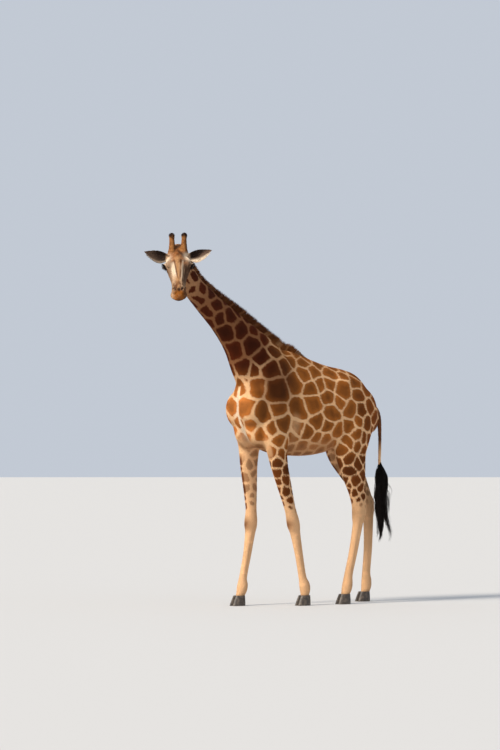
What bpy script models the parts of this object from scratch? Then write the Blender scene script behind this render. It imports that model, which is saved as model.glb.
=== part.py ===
"""A standing giraffe at life size: flesh, mane, horns, eyes, ears and hooves as closed solids.

The animal faces -Y and stands on the floor at z = 0. Its head is turned to its own left.
"""
import math

import bmesh
import bpy
import numpy as np
from mathutils import Matrix, Vector

# ---- driving sizes, in metres ------------------------------------------------------------
GAP = 0.0003                      # air between neighbouring parts
BODY_VOXEL = 0.017                # fineness of the blended body
HEAD_VOXEL = 0.0085               # fineness of the blended head
BODY_FACES = 3150                 # triangles kept on the body
HEAD_FACES = 1800                 # triangles kept on the head
CURVE_STEPS = 20                  # samples between two stations of a smooth curve
RELAX = 0.5                       # strength of one round of smoothing
SOFT_HEIGHT = 1.35                # above this height the body is smoothed further
SOFT_FADE = 0.30                  # height over which the further smoothing sets in
SOFT_ROUNDS = 5                   # how many times further it is smoothed
CREASE = math.radians(40.0)       # edges sharper than this stay sharp in the shading
ACROSS = Vector((1, 0, 0))        # the animal's left

HEAD_ORIGIN = Vector((0.258, -1.753, 3.620))   # back of the skull
HEAD_YAW = math.radians(57.5)     # turned to the animal's left
HEAD_PITCH = math.radians(50.0)   # nose held down
HEAD_ROLL = math.radians(-2.2)    # left ear a little high

EYE_CENTRE = Vector((0.123, -0.300, 0.045))   # left eye, in the head's own frame
EYE_RADIUS = 0.028
HORN_BASE = Vector((0.057, -0.150, 0.095))
HORN_LENGTH = 0.180
EAR_ROOT = Vector((0.096, -0.178, 0.050))
EAR_LENGTH = 0.246
EAR_WIDTH = 0.132
EAR_THICKNESS = 0.009
EAR_RISE = 0.04                   # slight upward tilt of the ear's axis
EAR_SEAT = 0.010                  # how far the ear's root is set back
EAR_TIP_LIFT = 0.034              # upward sweep of the tip
EAR_CUP = 0.85                    # depth of the cupped blade for its width
EAR_COLUMNS = 9
EAR_ROWS = 4

HOOF_HEIGHT = 0.105
HOOF_LENGTH = 0.150
HOOF_WIDTH = 0.126
HOOF_SLOT = 0.010
SLOT_DEPTH = 0.120                # cleft between the toes, front to back
SLOT_SETBACK = 0.085              # cleft's middle ahead of the coronet
TOE_LEAN = 0.022                  # how far the sole stands ahead of the coronet
HOOF_SHIFT = 0.004

CHEST_BACK = -0.250               # where the chest meets the barrel
RUMP_FRONT = 0.160                # where the barrel meets the rump

MANE_HEIGHT = 0.062               # hair standing above the crest of the neck
MANE_WIDTH = 0.046
MANE_ROOT = 0.040                 # how deep the mane is seated in the neck

# Trunk cross-sections: y, top, bottom, half width, height of the widest level (0 low, 1 high)
TRUNK = (
    (-0.86, 2.170, 1.960, 0.070, 0.45),
    (-0.81, 2.330, 1.840, 0.155, 0.45),
    (-0.70, 2.470, 1.700, 0.220, 0.45),
    (-0.52, 2.580, 1.585, 0.262, 0.42),
    (-0.28, 2.640, 1.545, 0.285, 0.40),
    (0.00, 2.560, 1.540, 0.312, 0.42),
    (0.24, 2.490, 1.580, 0.315, 0.44),
    (0.44, 2.455, 1.660, 0.288, 0.48),
    (0.62, 2.395, 1.760, 0.236, 0.50),
    (0.77, 2.225, 1.840, 0.175, 0.50),
    (0.88, 2.070, 1.900, 0.090, 0.50),
)

# Neck centre line: x, y, z, half width, half depth
NECK = (
    (0.000, -0.360, 2.190, 0.220, 0.380),
    (0.000, -0.640, 2.520, 0.185, 0.300),
    (0.010, -0.846, 2.744, 0.140, 0.212),
    (0.035, -1.055, 2.924, 0.119, 0.162),
    (0.080, -1.280, 3.085, 0.104, 0.136),
    (0.130, -1.485, 3.240, 0.096, 0.120),
    (0.185, -1.642, 3.380, 0.090, 0.111),
    (0.232, -1.738, 3.515, 0.084, 0.100),
)
HEAD_CUT = 5.35                   # where along the neck's stations the head part begins

# Head cross-sections in its own frame: distance from the back of the skull, top, bottom,
# half width, height of the widest level
HEAD = (
    (-0.030, 0.020, -0.050, 0.045, 0.50),
    (0.030, 0.078, -0.110, 0.086, 0.55),
    (0.100, 0.112, -0.148, 0.104, 0.60),
    (0.180, 0.128, -0.158, 0.108, 0.62),
    (0.260, 0.131, -0.146, 0.117, 0.62),
    (0.330, 0.115, -0.122, 0.110, 0.58),
    (0.405, 0.088, -0.094, 0.088, 0.54),
    (0.480, 0.068, -0.076, 0.073, 0.52),
    (0.550, 0.054, -0.070, 0.067, 0.50),
    (0.606, 0.044, -0.074, 0.072, 0.46),
    (0.655, 0.020, -0.070, 0.063, 0.44),
    (0.686, -0.010, -0.050, 0.038, 0.45),
)

# Horn profile: part of its length, radius
HORN_FORM = (
    (0.00, 0.036), (0.20, 0.031), (0.45, 0.0235), (0.72, 0.0205), (0.80, 0.0235),
    (0.90, 0.0255), (0.97, 0.019), (1.00, 0.009),
)

# Ear profile: part of its length, part of its greatest width
EAR_FORM = (
    (0.0, 0.38), (0.12, 0.52), (0.28, 0.86), (0.45, 1.0), (0.62, 0.94), (0.80, 0.64),
    (0.92, 0.32), (1.0, 0.05),
)

# How far the ear's blade is rolled: part of its length, half angle
EAR_CURL = ((0.0, 2.4), (0.2, 1.5), (0.5, 0.85), (1.0, 0.35))

# Hoof profile: part of its height, part of its width, part of its length
HOOF_FORM = (
    (0.0, 1.0, 1.0), (0.12, 1.0, 1.0), (0.55, 0.91, 0.89), (0.86, 0.84, 0.78), (1.0, 0.80, 0.74),
)

# Mane cross-section: part of the half width, part of the height above or root depth below
MANE_FORM = ((1.0, -0.6), (0.9, 0.3), (0.45, 0.95), (-0.45, 0.95), (-0.9, 0.3), (-1.0, -0.6))

# Mane behind the neck: y, part of its full height
MANE_END = ((-0.29, 0.95), (-0.17, 0.70), (-0.04, 0.45), (0.10, 0.15))

# Leg joints from the body down to the coronet of the hoof
FORE_JOINTS = {
    "left": ((0.165, -0.500, 2.150), (0.200, -0.510, 1.620), (0.190, -0.286, 0.850),
             (0.172, -0.140, 0.200), (0.170, -0.128, 0.070)),
    "right": ((-0.165, -0.530, 2.150), (-0.200, -0.575, 1.620), (-0.190, -0.552, 0.850),
              (-0.172, -0.682, 0.200), (-0.170, -0.710, 0.070)),
}
HIND_JOINTS = {
    "left": ((0.145, 0.600, 2.080), (0.200, 0.410, 1.640), (0.200, 0.545, 0.960),
             (0.180, 0.404, 0.200), (0.178, 0.382, 0.070)),
    "right": ((-0.145, 0.620, 2.080), (-0.200, 0.590, 1.640), (-0.185, 0.945, 0.990),
              (-0.180, 0.925, 0.200), (-0.178, 0.906, 0.070)),
}

# Leg thickness: place along the joints, half width, half depth, shift to the rear
FORE_FORM = (
    (0.00, 0.075, 0.150, 0.00), (0.45, 0.098, 0.185, 0.00), (0.80, 0.092, 0.165, 0.01),
    (1.00, 0.080, 0.132, 0.01), (1.25, 0.067, 0.103, 0.00), (1.55, 0.056, 0.080, 0.00),
    (1.82, 0.049, 0.063, 0.00), (1.94, 0.058, 0.068, 0.00), (2.03, 0.058, 0.068, 0.00),
    (2.15, 0.047, 0.056, 0.00), (2.45, 0.038, 0.046, 0.00), (2.78, 0.037, 0.045, 0.00),
    (2.94, 0.049, 0.058, 0.01), (3.08, 0.050, 0.058, 0.01), (3.55, 0.043, 0.045, 0.00),
    (4.00, 0.052, 0.054, 0.00),
)
HIND_FORM = (
    (0.00, 0.105, 0.200, 0.00), (0.50, 0.120, 0.252, 0.02), (0.85, 0.108, 0.225, 0.04),
    (1.10, 0.095, 0.200, 0.03), (1.40, 0.078, 0.156, 0.02), (1.70, 0.060, 0.108, 0.01),
    (1.88, 0.055, 0.088, 0.01), (1.98, 0.057, 0.083, 0.01), (2.08, 0.052, 0.070, 0.00),
    (2.20, 0.045, 0.057, 0.00), (2.50, 0.041, 0.049, 0.00), (2.80, 0.040, 0.048, 0.00),
    (2.94, 0.049, 0.057, 0.01), (3.08, 0.050, 0.057, 0.01), (3.55, 0.043, 0.045, 0.00),
    (4.00, 0.052, 0.054, 0.00),
)

# Muscle and bone masses on the left side: centre, radii
MASSES = (
    ((0.135, -0.735, 2.020), (0.120, 0.155, 0.200)),     # point of the shoulder
    ((0.160, -0.480, 2.230), (0.110, 0.230, 0.380)),     # shoulder blade
    ((0.110, -0.650, 1.830), (0.110, 0.160, 0.220)),     # breast
    ((0.195, 0.340, 2.270), (0.070, 0.160, 0.110)),      # point of the hip
    ((0.125, 0.590, 2.000), (0.135, 0.245, 0.280)),      # haunch
    ((0.085, 0.775, 1.940), (0.080, 0.120, 0.170)),      # buttock
)

HEEL_OFFSET = Vector((0, 0.050, 0.050))        # bony point behind the hock
HEEL_RADII = (0.036, 0.044, 0.085)
ERGOT_OFFSET = Vector((0, 0.040, -0.012))      # small swelling behind the fetlock
ERGOT_RADII = (0.034, 0.026, 0.030)

NECK_PARTINGS = ((1.35, 0.40), (2.60, 0.30), (4.00, 0.26))   # station, reach of the parting
HEAD_NECK_START = 4               # neck station from which the head's blend begins

TUFT_TOP = 1.475                  # height where the tail's long hair begins
TAIL = (
    (0.840, 2.050, 0.050), (0.915, 2.020, 0.040), (0.965, 1.930, 0.027), (0.980, 1.750, 0.018),
    (0.975, 1.450, 0.015),
)
TUFT = (
    (0.975, 1.500, 0.016), (0.985, 1.420, 0.034), (0.995, 1.310, 0.062), (0.985, 1.150, 0.060),
    (0.965, 0.980, 0.050), (0.975, 0.820, 0.042), (0.990, 0.700, 0.032), (0.980, 0.590, 0.012),
)

COLOURS = {
    "head": (0.62, 0.42, 0.22), "neck": (0.36, 0.17, 0.07), "chest": (0.52, 0.30, 0.14),
    "barrel": (0.60, 0.36, 0.17), "rump": (0.56, 0.31, 0.14), "foreleg": (0.72, 0.58, 0.40),
    "hindleg": (0.74, 0.60, 0.42), "hoof": (0.10, 0.08, 0.07), "mane": (0.22, 0.10, 0.05),
    "tail": (0.40, 0.22, 0.10), "tuft": (0.02, 0.02, 0.02), "ear": (0.66, 0.58, 0.48),
    "eye": (0.02, 0.015, 0.012), "ossicone": (0.30, 0.17, 0.08),
}


# ---- scene and materials -----------------------------------------------------------------
def clear_scene():
    """Remove every object of the start-up scene."""
    for item in list(bpy.data.objects):
        bpy.data.objects.remove(item, do_unlink=True)


def collection(name, cutters=False):
    """Return a new collection in the scene, dimmed if it only holds cutters."""
    made = bpy.data.collections.new(name)
    bpy.context.scene.collection.children.link(made)
    made.hide_render = cutters
    return made


def material(name, kind):
    """Return a plain material with the colour of one kind of part."""
    made = bpy.data.materials.new(name)
    made.use_nodes = True
    shader = made.node_tree.nodes["Principled BSDF"]
    shader.inputs["Base Color"].default_value = (*COLOURS[kind], 1.0)
    shader.inputs["Roughness"].default_value = 0.12 if kind == "eye" else 0.75
    return made


def mesh_object(name, mesh, home):
    """Link a mesh into a collection as an object."""
    item = bpy.data.objects.new(name, mesh)
    home.objects.link(item)
    return item


# ---- shapes ------------------------------------------------------------------------------
def blend_rows(rows, steps):
    """Resample a short table of stations with a smooth curve through every row."""
    table = np.array(rows, dtype=float)
    padded = np.vstack([2 * table[0] - table[1], table, 2 * table[-1] - table[-2]])
    out = []
    for index in range(len(table) - 1):
        a, b, c, d = padded[index:index + 4]
        for step in range(steps):
            t = step / steps
            out.append(0.5 * (2 * b + (c - a) * t + (2 * a - 5 * b + 4 * c - d) * t ** 2
                              + (3 * b - a - 3 * c + d) * t ** 3))
    out.append(table[-1])
    return np.array(out)


def row_at(rows, place):
    """Return the smooth table's value at a fractional row number."""
    fine = blend_rows(rows, CURVE_STEPS)
    return fine[int(round(place * CURVE_STEPS))]


def loft(name, rings, home):
    """Skin a list of equal rings of points into a closed solid with fanned ends."""
    form = bmesh.new()
    loops = [[form.verts.new(point) for point in ring] for ring in rings]
    count = len(loops[0])
    for first, second in zip(loops, loops[1:]):
        for i in range(count):
            j = (i + 1) % count
            form.faces.new((first[i], first[j], second[j], second[i]))
    for loop in (loops[0], loops[-1]):
        middle = form.verts.new(sum((v.co for v in loop), Vector()) / count)
        for i in range(count):
            form.faces.new((loop[i], loop[(i + 1) % count], middle))
    bmesh.ops.recalc_face_normals(form, faces=form.faces)
    mesh = bpy.data.meshes.new(name)
    form.to_mesh(mesh)
    form.free()
    return mesh_object(name, mesh, home)


def section_ring(y, top, bottom, half_width, level, count=32):
    """Return an egg-shaped ring across the Y axis."""
    middle = bottom + (top - bottom) * level
    ring = []
    for i in range(count):
        angle = 2 * math.pi * i / count
        rise = math.sin(angle)
        reach = top - middle if rise > 0 else middle - bottom
        ring.append(Vector((half_width * math.cos(angle), y, middle + reach * rise)))
    return ring


def tube_rings(rows, side, count=24):
    """Return rings square to a centre line; rows hold x, y, z, half width and half depth."""
    points = [Vector(row[:3]) for row in rows]
    rings = []
    for i, row in enumerate(rows):
        before = points[max(i - 1, 0)]
        after = points[min(i + 1, len(points) - 1)]
        along = (after - before).normalized()
        across = (side - along * side.dot(along)).normalized()
        deep = along.cross(across)
        ring = []
        for k in range(count):
            angle = 2 * math.pi * k / count
            ring.append(points[i] + across * row[3] * math.cos(angle)
                        + deep * row[4] * math.sin(angle))
        rings.append(ring)
    return rings


def ellipsoid(name, centre, radii, home, turn=None, segments=24):
    """Add a ball stretched to three radii."""
    form = bmesh.new()
    bmesh.ops.create_uvsphere(form, u_segments=segments, v_segments=segments // 2, radius=1.0)
    placed = Matrix.Translation(Vector(centre)) @ (turn or Matrix.Identity(4)) \
        @ Matrix.Diagonal((*radii, 1.0))
    form.transform(placed)
    mesh = bpy.data.meshes.new(name)
    form.to_mesh(mesh)
    form.free()
    return mesh_object(name, mesh, home)


def mirrored(point):
    """Return a point reflected to the other side of the body."""
    return (-point[0], point[1], point[2])


def apply_modifiers(item):
    """Bake an object's modifiers into its mesh."""
    graph = bpy.context.evaluated_depsgraph_get()
    mesh = bpy.data.meshes.new_from_object(item.evaluated_get(graph))
    item.modifiers.clear()
    item.data = mesh
    return item


def join(name, items, home):
    """Merge the meshes of several objects into one new object and remove them."""
    form = bmesh.new()
    for item in items:
        part = item.data.copy()
        part.transform(item.matrix_world)
        form.from_mesh(part)
        bpy.data.objects.remove(item, do_unlink=True)
    mesh = bpy.data.meshes.new(name)
    form.to_mesh(mesh)
    form.free()
    return mesh_object(name, mesh, home)


def blended(item, voxel, rounds, faces, soft_above=None):
    """Melt overlapping masses into one smooth skin with a set number of triangles.

    Above the height soft_above the skin is smoothed much further.
    """
    melt = item.modifiers.new("melt", "REMESH")
    melt.mode = "VOXEL"
    melt.voxel_size = voxel
    relax = item.modifiers.new("relax", "SMOOTH")
    relax.factor = RELAX
    relax.iterations = rounds
    apply_modifiers(item)
    if soft_above is not None:
        group = item.vertex_groups.new(name="soft")
        for vertex in item.data.vertices:
            weight = min(max((vertex.co.z - soft_above) / SOFT_FADE, 0.0), 1.0)
            group.add([vertex.index], weight, "REPLACE")
        soften = item.modifiers.new("soften", "SMOOTH")
        soften.factor = RELAX
        soften.iterations = SOFT_ROUNDS * rounds
        soften.vertex_group = group.name
        apply_modifiers(item)
        item.vertex_groups.clear()
    item.modifiers.new("tri", "TRIANGULATE")
    apply_modifiers(item)
    thin = item.modifiers.new("thin", "DECIMATE")
    thin.ratio = min(1.0, faces / len(item.data.polygons))
    return apply_modifiers(item)


def cut(item, cutter, grow=0.0):
    """Take a closed cutter, grown outward by a clearance, out of an object."""
    tool = cutter.copy()
    tool.data = cutter.data.copy()
    bpy.context.scene.collection.objects.link(tool)
    for vertex in tool.data.vertices:
        vertex.co += vertex.normal * grow
    bite = item.modifiers.new("bite", "BOOLEAN")
    bite.operation = "DIFFERENCE"
    bite.solver = "EXACT"
    bite.object = tool
    apply_modifiers(item)
    bpy.data.objects.remove(tool, do_unlink=True)
    return item


def keep_side(item, point, normal):
    """Cut an object flat at a plane and keep the side the normal points to."""
    form = bmesh.new()
    form.from_mesh(item.data)
    bmesh.ops.bisect_plane(form, geom=form.verts[:] + form.edges[:] + form.faces[:],
                           plane_co=point, plane_no=normal, clear_inner=True)
    rim = [edge for edge in form.edges if edge.is_boundary]
    bmesh.ops.triangle_fill(form, edges=rim, use_beauty=True)
    bmesh.ops.recalc_face_normals(form, faces=form.faces)
    form.to_mesh(item.data)
    form.free()
    return item


def slab(centre, normal, along, half_across, half_along, home):
    """Add a sheet one gap thick, used to part one region from the next."""
    normal = Vector(normal).normalized()
    along = Vector(along)
    along = (along - normal * along.dot(normal)).normalized()
    across = along.cross(normal)
    turn = Matrix((across, along, normal)).transposed().to_4x4()
    form = bmesh.new()
    bmesh.ops.create_cube(form, size=1.0)
    form.transform(Matrix.Translation(Vector(centre)) @ turn
                   @ Matrix.Diagonal((2 * half_across, 2 * half_along, GAP, 1.0)))
    mesh = bpy.data.meshes.new("slab")
    form.to_mesh(mesh)
    form.free()
    item = mesh_object("slab", mesh, home)
    item.display_type = "WIRE"
    return item


def loose_parts(item):
    """Return the separate closed shells of an object as new meshes."""
    form = bmesh.new()
    form.from_mesh(item.data)
    form.verts.ensure_lookup_table()
    seen = set()
    shells = []
    for start in form.verts:
        if start.index in seen:
            continue
        stack = [start]
        seen.add(start.index)
        group = []
        while stack:
            vertex = stack.pop()
            group.append(vertex.index)
            for edge in vertex.link_edges:
                other = edge.other_vert(vertex)
                if other.index not in seen:
                    seen.add(other.index)
                    stack.append(other)
        shells.append(set(group))
    meshes = []
    for group in shells:
        piece = form.copy()
        piece.verts.ensure_lookup_table()
        spare = [vertex for vertex in piece.verts if vertex.index not in group]
        bmesh.ops.delete(piece, geom=spare, context="VERTS")
        mesh = bpy.data.meshes.new("shell")
        piece.to_mesh(mesh)
        piece.free()
        meshes.append(mesh)
    form.free()
    return meshes


def finish(item, name, kind, home):
    """Give a finished solid its name, its material and its place in the object."""
    item.name = name
    item.data.name = name
    item.data.materials.clear()
    item.data.materials.append(material(name, kind))
    item.data.shade_smooth()
    item.data.set_sharp_from_angle(angle=CREASE)
    for owner in list(item.users_collection):
        owner.objects.unlink(item)
    home.objects.link(item)
    return item


# ---- the animal --------------------------------------------------------------------------
def head_matrix():
    """Return the placement of the head's own frame, in which it faces -Y."""
    return (Matrix.Translation(HEAD_ORIGIN) @ Matrix.Rotation(HEAD_YAW, 4, "Z")
            @ Matrix.Rotation(HEAD_PITCH, 4, "X") @ Matrix.Rotation(HEAD_ROLL, 4, "Y"))


def leg_rows(joints, form):
    """Return the stations of one leg, bent smoothly through its joints."""
    line = blend_rows(joints, CURVE_STEPS)
    rows = []
    for place, width, depth, shift in form:
        point = line[int(round(place * CURVE_STEPS))]
        rows.append((point[0], point[1] + shift, point[2], width, depth))
    return blend_rows(rows, 4)


def hock_points(home):
    """Add the bony point that stands behind each hock."""
    items = []
    for side, joints in HIND_JOINTS.items():
        hock = Vector(joints[2])
        items.append(ellipsoid("heel_" + side, hock + HEEL_OFFSET, HEEL_RADII, home))
    return items


def dew_claws(home):
    """Add the small swellings behind each fetlock."""
    items = []
    for joints in list(FORE_JOINTS.values()) + list(HIND_JOINTS.values()):
        fetlock = Vector(joints[3])
        items.append(ellipsoid("ergot", fetlock + ERGOT_OFFSET, ERGOT_RADII, home))
    return items


def neck_rings(first, last):
    """Return the neck's rings between two of its stations."""
    rows = blend_rows(NECK, 4)
    return tube_rings(rows[first * 4:last * 4 + 1], ACROSS)


def build_body(home):
    """Build trunk, neck and legs as one blended solid."""
    trunk = [section_ring(*row) for row in blend_rows(TRUNK, 3)]
    items = [loft("trunk_form", trunk, home)]
    items.append(loft("neck_form", neck_rings(0, len(NECK) - 1), home))
    for joints, form in ((FORE_JOINTS, FORE_FORM), (HIND_JOINTS, HIND_FORM)):
        for side in ("left", "right"):
            rings = tube_rings(leg_rows(joints[side], form), ACROSS, 20)
            items.append(loft("leg_form", rings, home))
    for centre, radii in MASSES:
        for place in (centre, mirrored(centre)):
            items.append(ellipsoid("mass", place, radii, home))
    items += hock_points(home)
    items += dew_claws(home)
    return blended(join("body", items, home), BODY_VOXEL, 4, BODY_FACES, soft_above=SOFT_HEIGHT)


HEAD_MASSES = (
    ((0.084, -0.285, 0.088), (0.046, 0.062, 0.034)),     # brow over the eye
    ((0.088, -0.300, 0.020), (0.038, 0.070, 0.050)),     # cheek bone under the eye
    ((0.066, -0.190, -0.060), (0.046, 0.120, 0.085)),    # jaw muscle
    ((0.036, -0.600, 0.018), (0.036, 0.050, 0.030)),     # nostril wing
    ((0.038, -0.622, -0.028), (0.042, 0.056, 0.034)),    # upper lip
    ((0.026, -0.606, -0.060), (0.040, 0.050, 0.028)),    # chin
    ((0.055, -0.150, 0.085), (0.040, 0.045, 0.045)),     # seat of the horn
)


def build_head(home):
    """Build the head with the top of the neck as one blended solid."""
    place = head_matrix()
    rows = blend_rows(HEAD, 3)
    rings = [section_ring(-row[0], row[1], row[2], row[3], row[4]) for row in rows]
    items = [loft("skull_form", rings, home)]
    items.append(ellipsoid("forehead", (0, -0.235, 0.108), (0.050, 0.090, 0.032), home))
    for centre, radii in HEAD_MASSES:
        for spot in (centre, mirrored(centre)):
            items.append(ellipsoid("mass", spot, radii, home))
    for item in items:
        item.data.transform(place)
    nape = neck_rings(HEAD_NECK_START, len(NECK) - 1)
    items.append(loft("nape_form", nape, home))
    return blended(join("head", items, home), HEAD_VOXEL, 3, HEAD_FACES)


def build_horn(side, home):
    """Build one horn: a skin-covered cone with a thicker, hairy knob, standing upright."""
    place = head_matrix()
    base = place @ Vector((side * HORN_BASE.x, HORN_BASE.y, HORN_BASE.z))
    rise = (Vector((0, 0, 1)) + place.to_3x3() @ Vector((side * 0.03, 0, 0))).normalized()
    rows = [(*(base + rise * HORN_LENGTH * part), size, size) for part, size in HORN_FORM]
    return loft("horn", tube_rings(rows, ACROSS, 10), home)


def build_ear(side, home):
    """Build one leaf-shaped ear, cupped forward and held out level."""
    place = head_matrix()
    root = place @ Vector((side * EAR_ROOT.x, EAR_ROOT.y, EAR_ROOT.z))
    out = (place.to_3x3() @ Vector((side, 0, 0)) + Vector((0, 0, EAR_RISE))).normalized()
    up = (Vector((0, 0, 1)) - out * out.z).normalized()
    front = out.cross(up) * side
    form = bmesh.new()
    grid = []
    for i in range(EAR_COLUMNS + 1):
        along = i / EAR_COLUMNS
        width = EAR_WIDTH * np.interp(along, *zip(*EAR_FORM)) / 2
        curl = np.interp(along, *zip(*EAR_CURL))
        line = []
        for j in range(EAR_ROWS + 1):
            turn = (j / EAR_ROWS * 2 - 1) * curl
            wide = width * math.sin(turn) / max(math.sin(min(curl, math.pi / 2)), 0.3)
            wide = wide * (0.75 if turn > 0 else 1.15) + EAR_TIP_LIFT * along ** 1.5
            deep = width * (1 - math.cos(turn)) * EAR_CUP
            spot = root + out * EAR_LENGTH * along + up * wide + front * (deep - EAR_SEAT)
            line.append(form.verts.new(spot))
        grid.append(line)
    for i in range(EAR_COLUMNS):
        for j in range(EAR_ROWS):
            form.faces.new((grid[i][j], grid[i + 1][j], grid[i + 1][j + 1], grid[i][j + 1]))
    mesh = bpy.data.meshes.new("ear")
    form.to_mesh(mesh)
    form.free()
    item = mesh_object("ear", mesh, home)
    wall = item.modifiers.new("wall", "SOLIDIFY")
    wall.thickness = EAR_THICKNESS
    wall.offset = 0.0
    return apply_modifiers(item)


def crest_line():
    """Return the crest's points, outward directions and hair heights, poll to back."""
    rows = blend_rows(NECK, 4)
    rings = tube_rings(rows, ACROSS, 24)
    line = []
    for row, ring in list(zip(rows, rings))[-1:4:-2]:
        top = ring[6] if ring[6].z > ring[18].z else ring[18]
        line.append((top, (top - Vector(row[:3])).normalized(), 1.0))
    for y, height in MANE_END:
        top = np.interp(y, [row[0] for row in TRUNK], [row[1] for row in TRUNK])
        line.append((Vector((0, y, top)), Vector((0, 0.35, 0.94)).normalized(), height))
    return line


def build_mane(home):
    """Build the stiff crest of hair from the poll to past the withers."""
    rings = []
    for place, rise, height in crest_line():
        ring = []
        for across, up in MANE_FORM:
            side = ACROSS * (across * MANE_WIDTH / 2)
            lift = MANE_HEIGHT * max(up, 0) * height + MANE_ROOT * min(up, 0)
            ring.append(place + side + rise * lift)
        rings.append(ring)
    return loft("mane", rings, home)


def build_hoof(joints, home):
    """Build one cloven hoof standing flat on the floor."""
    coronet = Vector(joints[4])
    rings = []
    for part, wide, long in HOOF_FORM:
        ahead = HOOF_SHIFT + TOE_LEAN * (1 - part)
        centre = Vector((coronet.x, coronet.y - ahead, HOOF_HEIGHT * part))
        ring = []
        for k in range(16):
            angle = 2 * math.pi * k / 16
            ring.append(centre + Vector((HOOF_WIDTH / 2 * wide * math.cos(angle),
                                         HOOF_LENGTH / 2 * long * math.sin(angle), 0)))
        rings.append(ring)
    hoof = loft("hoof", rings, home)
    form = bmesh.new()
    bmesh.ops.create_cube(form, size=1.0)
    form.transform(Matrix.Translation((coronet.x, coronet.y - SLOT_SETBACK, 0.01))
                   @ Matrix.Diagonal((HOOF_SLOT, SLOT_DEPTH, HOOF_LENGTH, 1.0)))
    mesh = bpy.data.meshes.new("slot")
    form.to_mesh(mesh)
    form.free()
    slot = mesh_object("slot", mesh, home)
    cut(hoof, slot)
    bpy.data.objects.remove(slot, do_unlink=True)
    return hoof


def build_tail(rows, home):
    """Build a length of the tail from rows of y, z and radius."""
    stations = [(0.0, y, z, size, size) for y, z, size in rows]
    return loft("tail", tube_rings(stations, ACROSS, 10), home)


def parting_slabs(home):
    """Return the thin sheets that part the body into its named regions."""
    slabs = []
    for place, reach in NECK_PARTINGS:
        row = row_at(NECK, place)
        ahead = row_at(NECK, place + 0.2)
        run = Vector(ahead[:3]) - Vector(row[:3])
        slabs.append(slab(row[:3], run, (0, 1, 1), 0.34, reach, home))
    for y in (CHEST_BACK, RUMP_FRONT):
        slabs.append(slab((0, y, 2.18), (0, 1, 0), (0, 0, 1), 0.5, 0.70, home))
    slabs.append(slab((0, -0.62, 1.585), (0, 0.28, 1), (0, 1, 0), 0.5, 0.40, home))
    slabs.append(slab((0, 0.60, 1.665), (0, -0.35, 1), (0, 1, 0), 0.5, 0.50, home))
    for joints in FORE_JOINTS.values():
        slabs.append(slab(joints[2], (0, 0.15, 1), (0, 1, 0), 0.12, 0.16, home))
    for joints in HIND_JOINTS.values():
        slabs.append(slab(Vector(joints[2]) + Vector((0, 0, -0.05)), (0, 0, 1), (0, 1, 0),
                          0.12, 0.20, home))
    return slabs


def part_body(body, home):
    """Part the body with the thin sheets and name each closed piece by where it lies."""
    for sheet in parting_slabs(home):
        cut(body, sheet)
        bpy.data.objects.remove(sheet, do_unlink=True)
    anchors = {
        ("neck_upper", "neck"): (0.10, -1.36, 3.20), ("neck_middle", "neck"): (0.02, -0.98, 2.86),
        ("neck_lower", "neck"): (0.0, -0.72, 2.62), ("chest", "chest"): (0, -0.50, 2.10),
        ("barrel", "barrel"): (0, 0.0, 2.05), ("rump", "rump"): (0, 0.55, 2.10),
    }
    for sign, side in ((1, "left"), (-1, "right")):
        fore, hind = FORE_JOINTS[side], HIND_JOINTS[side]
        anchors[("foreleg_%s_upper" % side, "foreleg")] = (sign * 0.20, fore[1][1], 1.45)
        anchors[("foreleg_%s_lower" % side, "foreleg")] = (sign * 0.18, fore[3][1], 0.45)
        anchors[("hindleg_%s_upper" % side, "hindleg")] = (sign * 0.20, 0.62, 1.60)
        anchors[("hindleg_%s_lower" % side, "hindleg")] = (sign * 0.18, hind[3][1], 0.45)
    pieces = []
    for mesh in loose_parts(body):
        middle = sum((v.co for v in mesh.vertices), Vector()) / len(mesh.vertices)
        (name, kind), _ = min(anchors.items(), key=lambda pair: (Vector(pair[1]) - middle).length)
        pieces.append((name, kind, mesh_object(name, mesh, home)))
    bpy.data.objects.remove(body, do_unlink=True)
    return pieces


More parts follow.
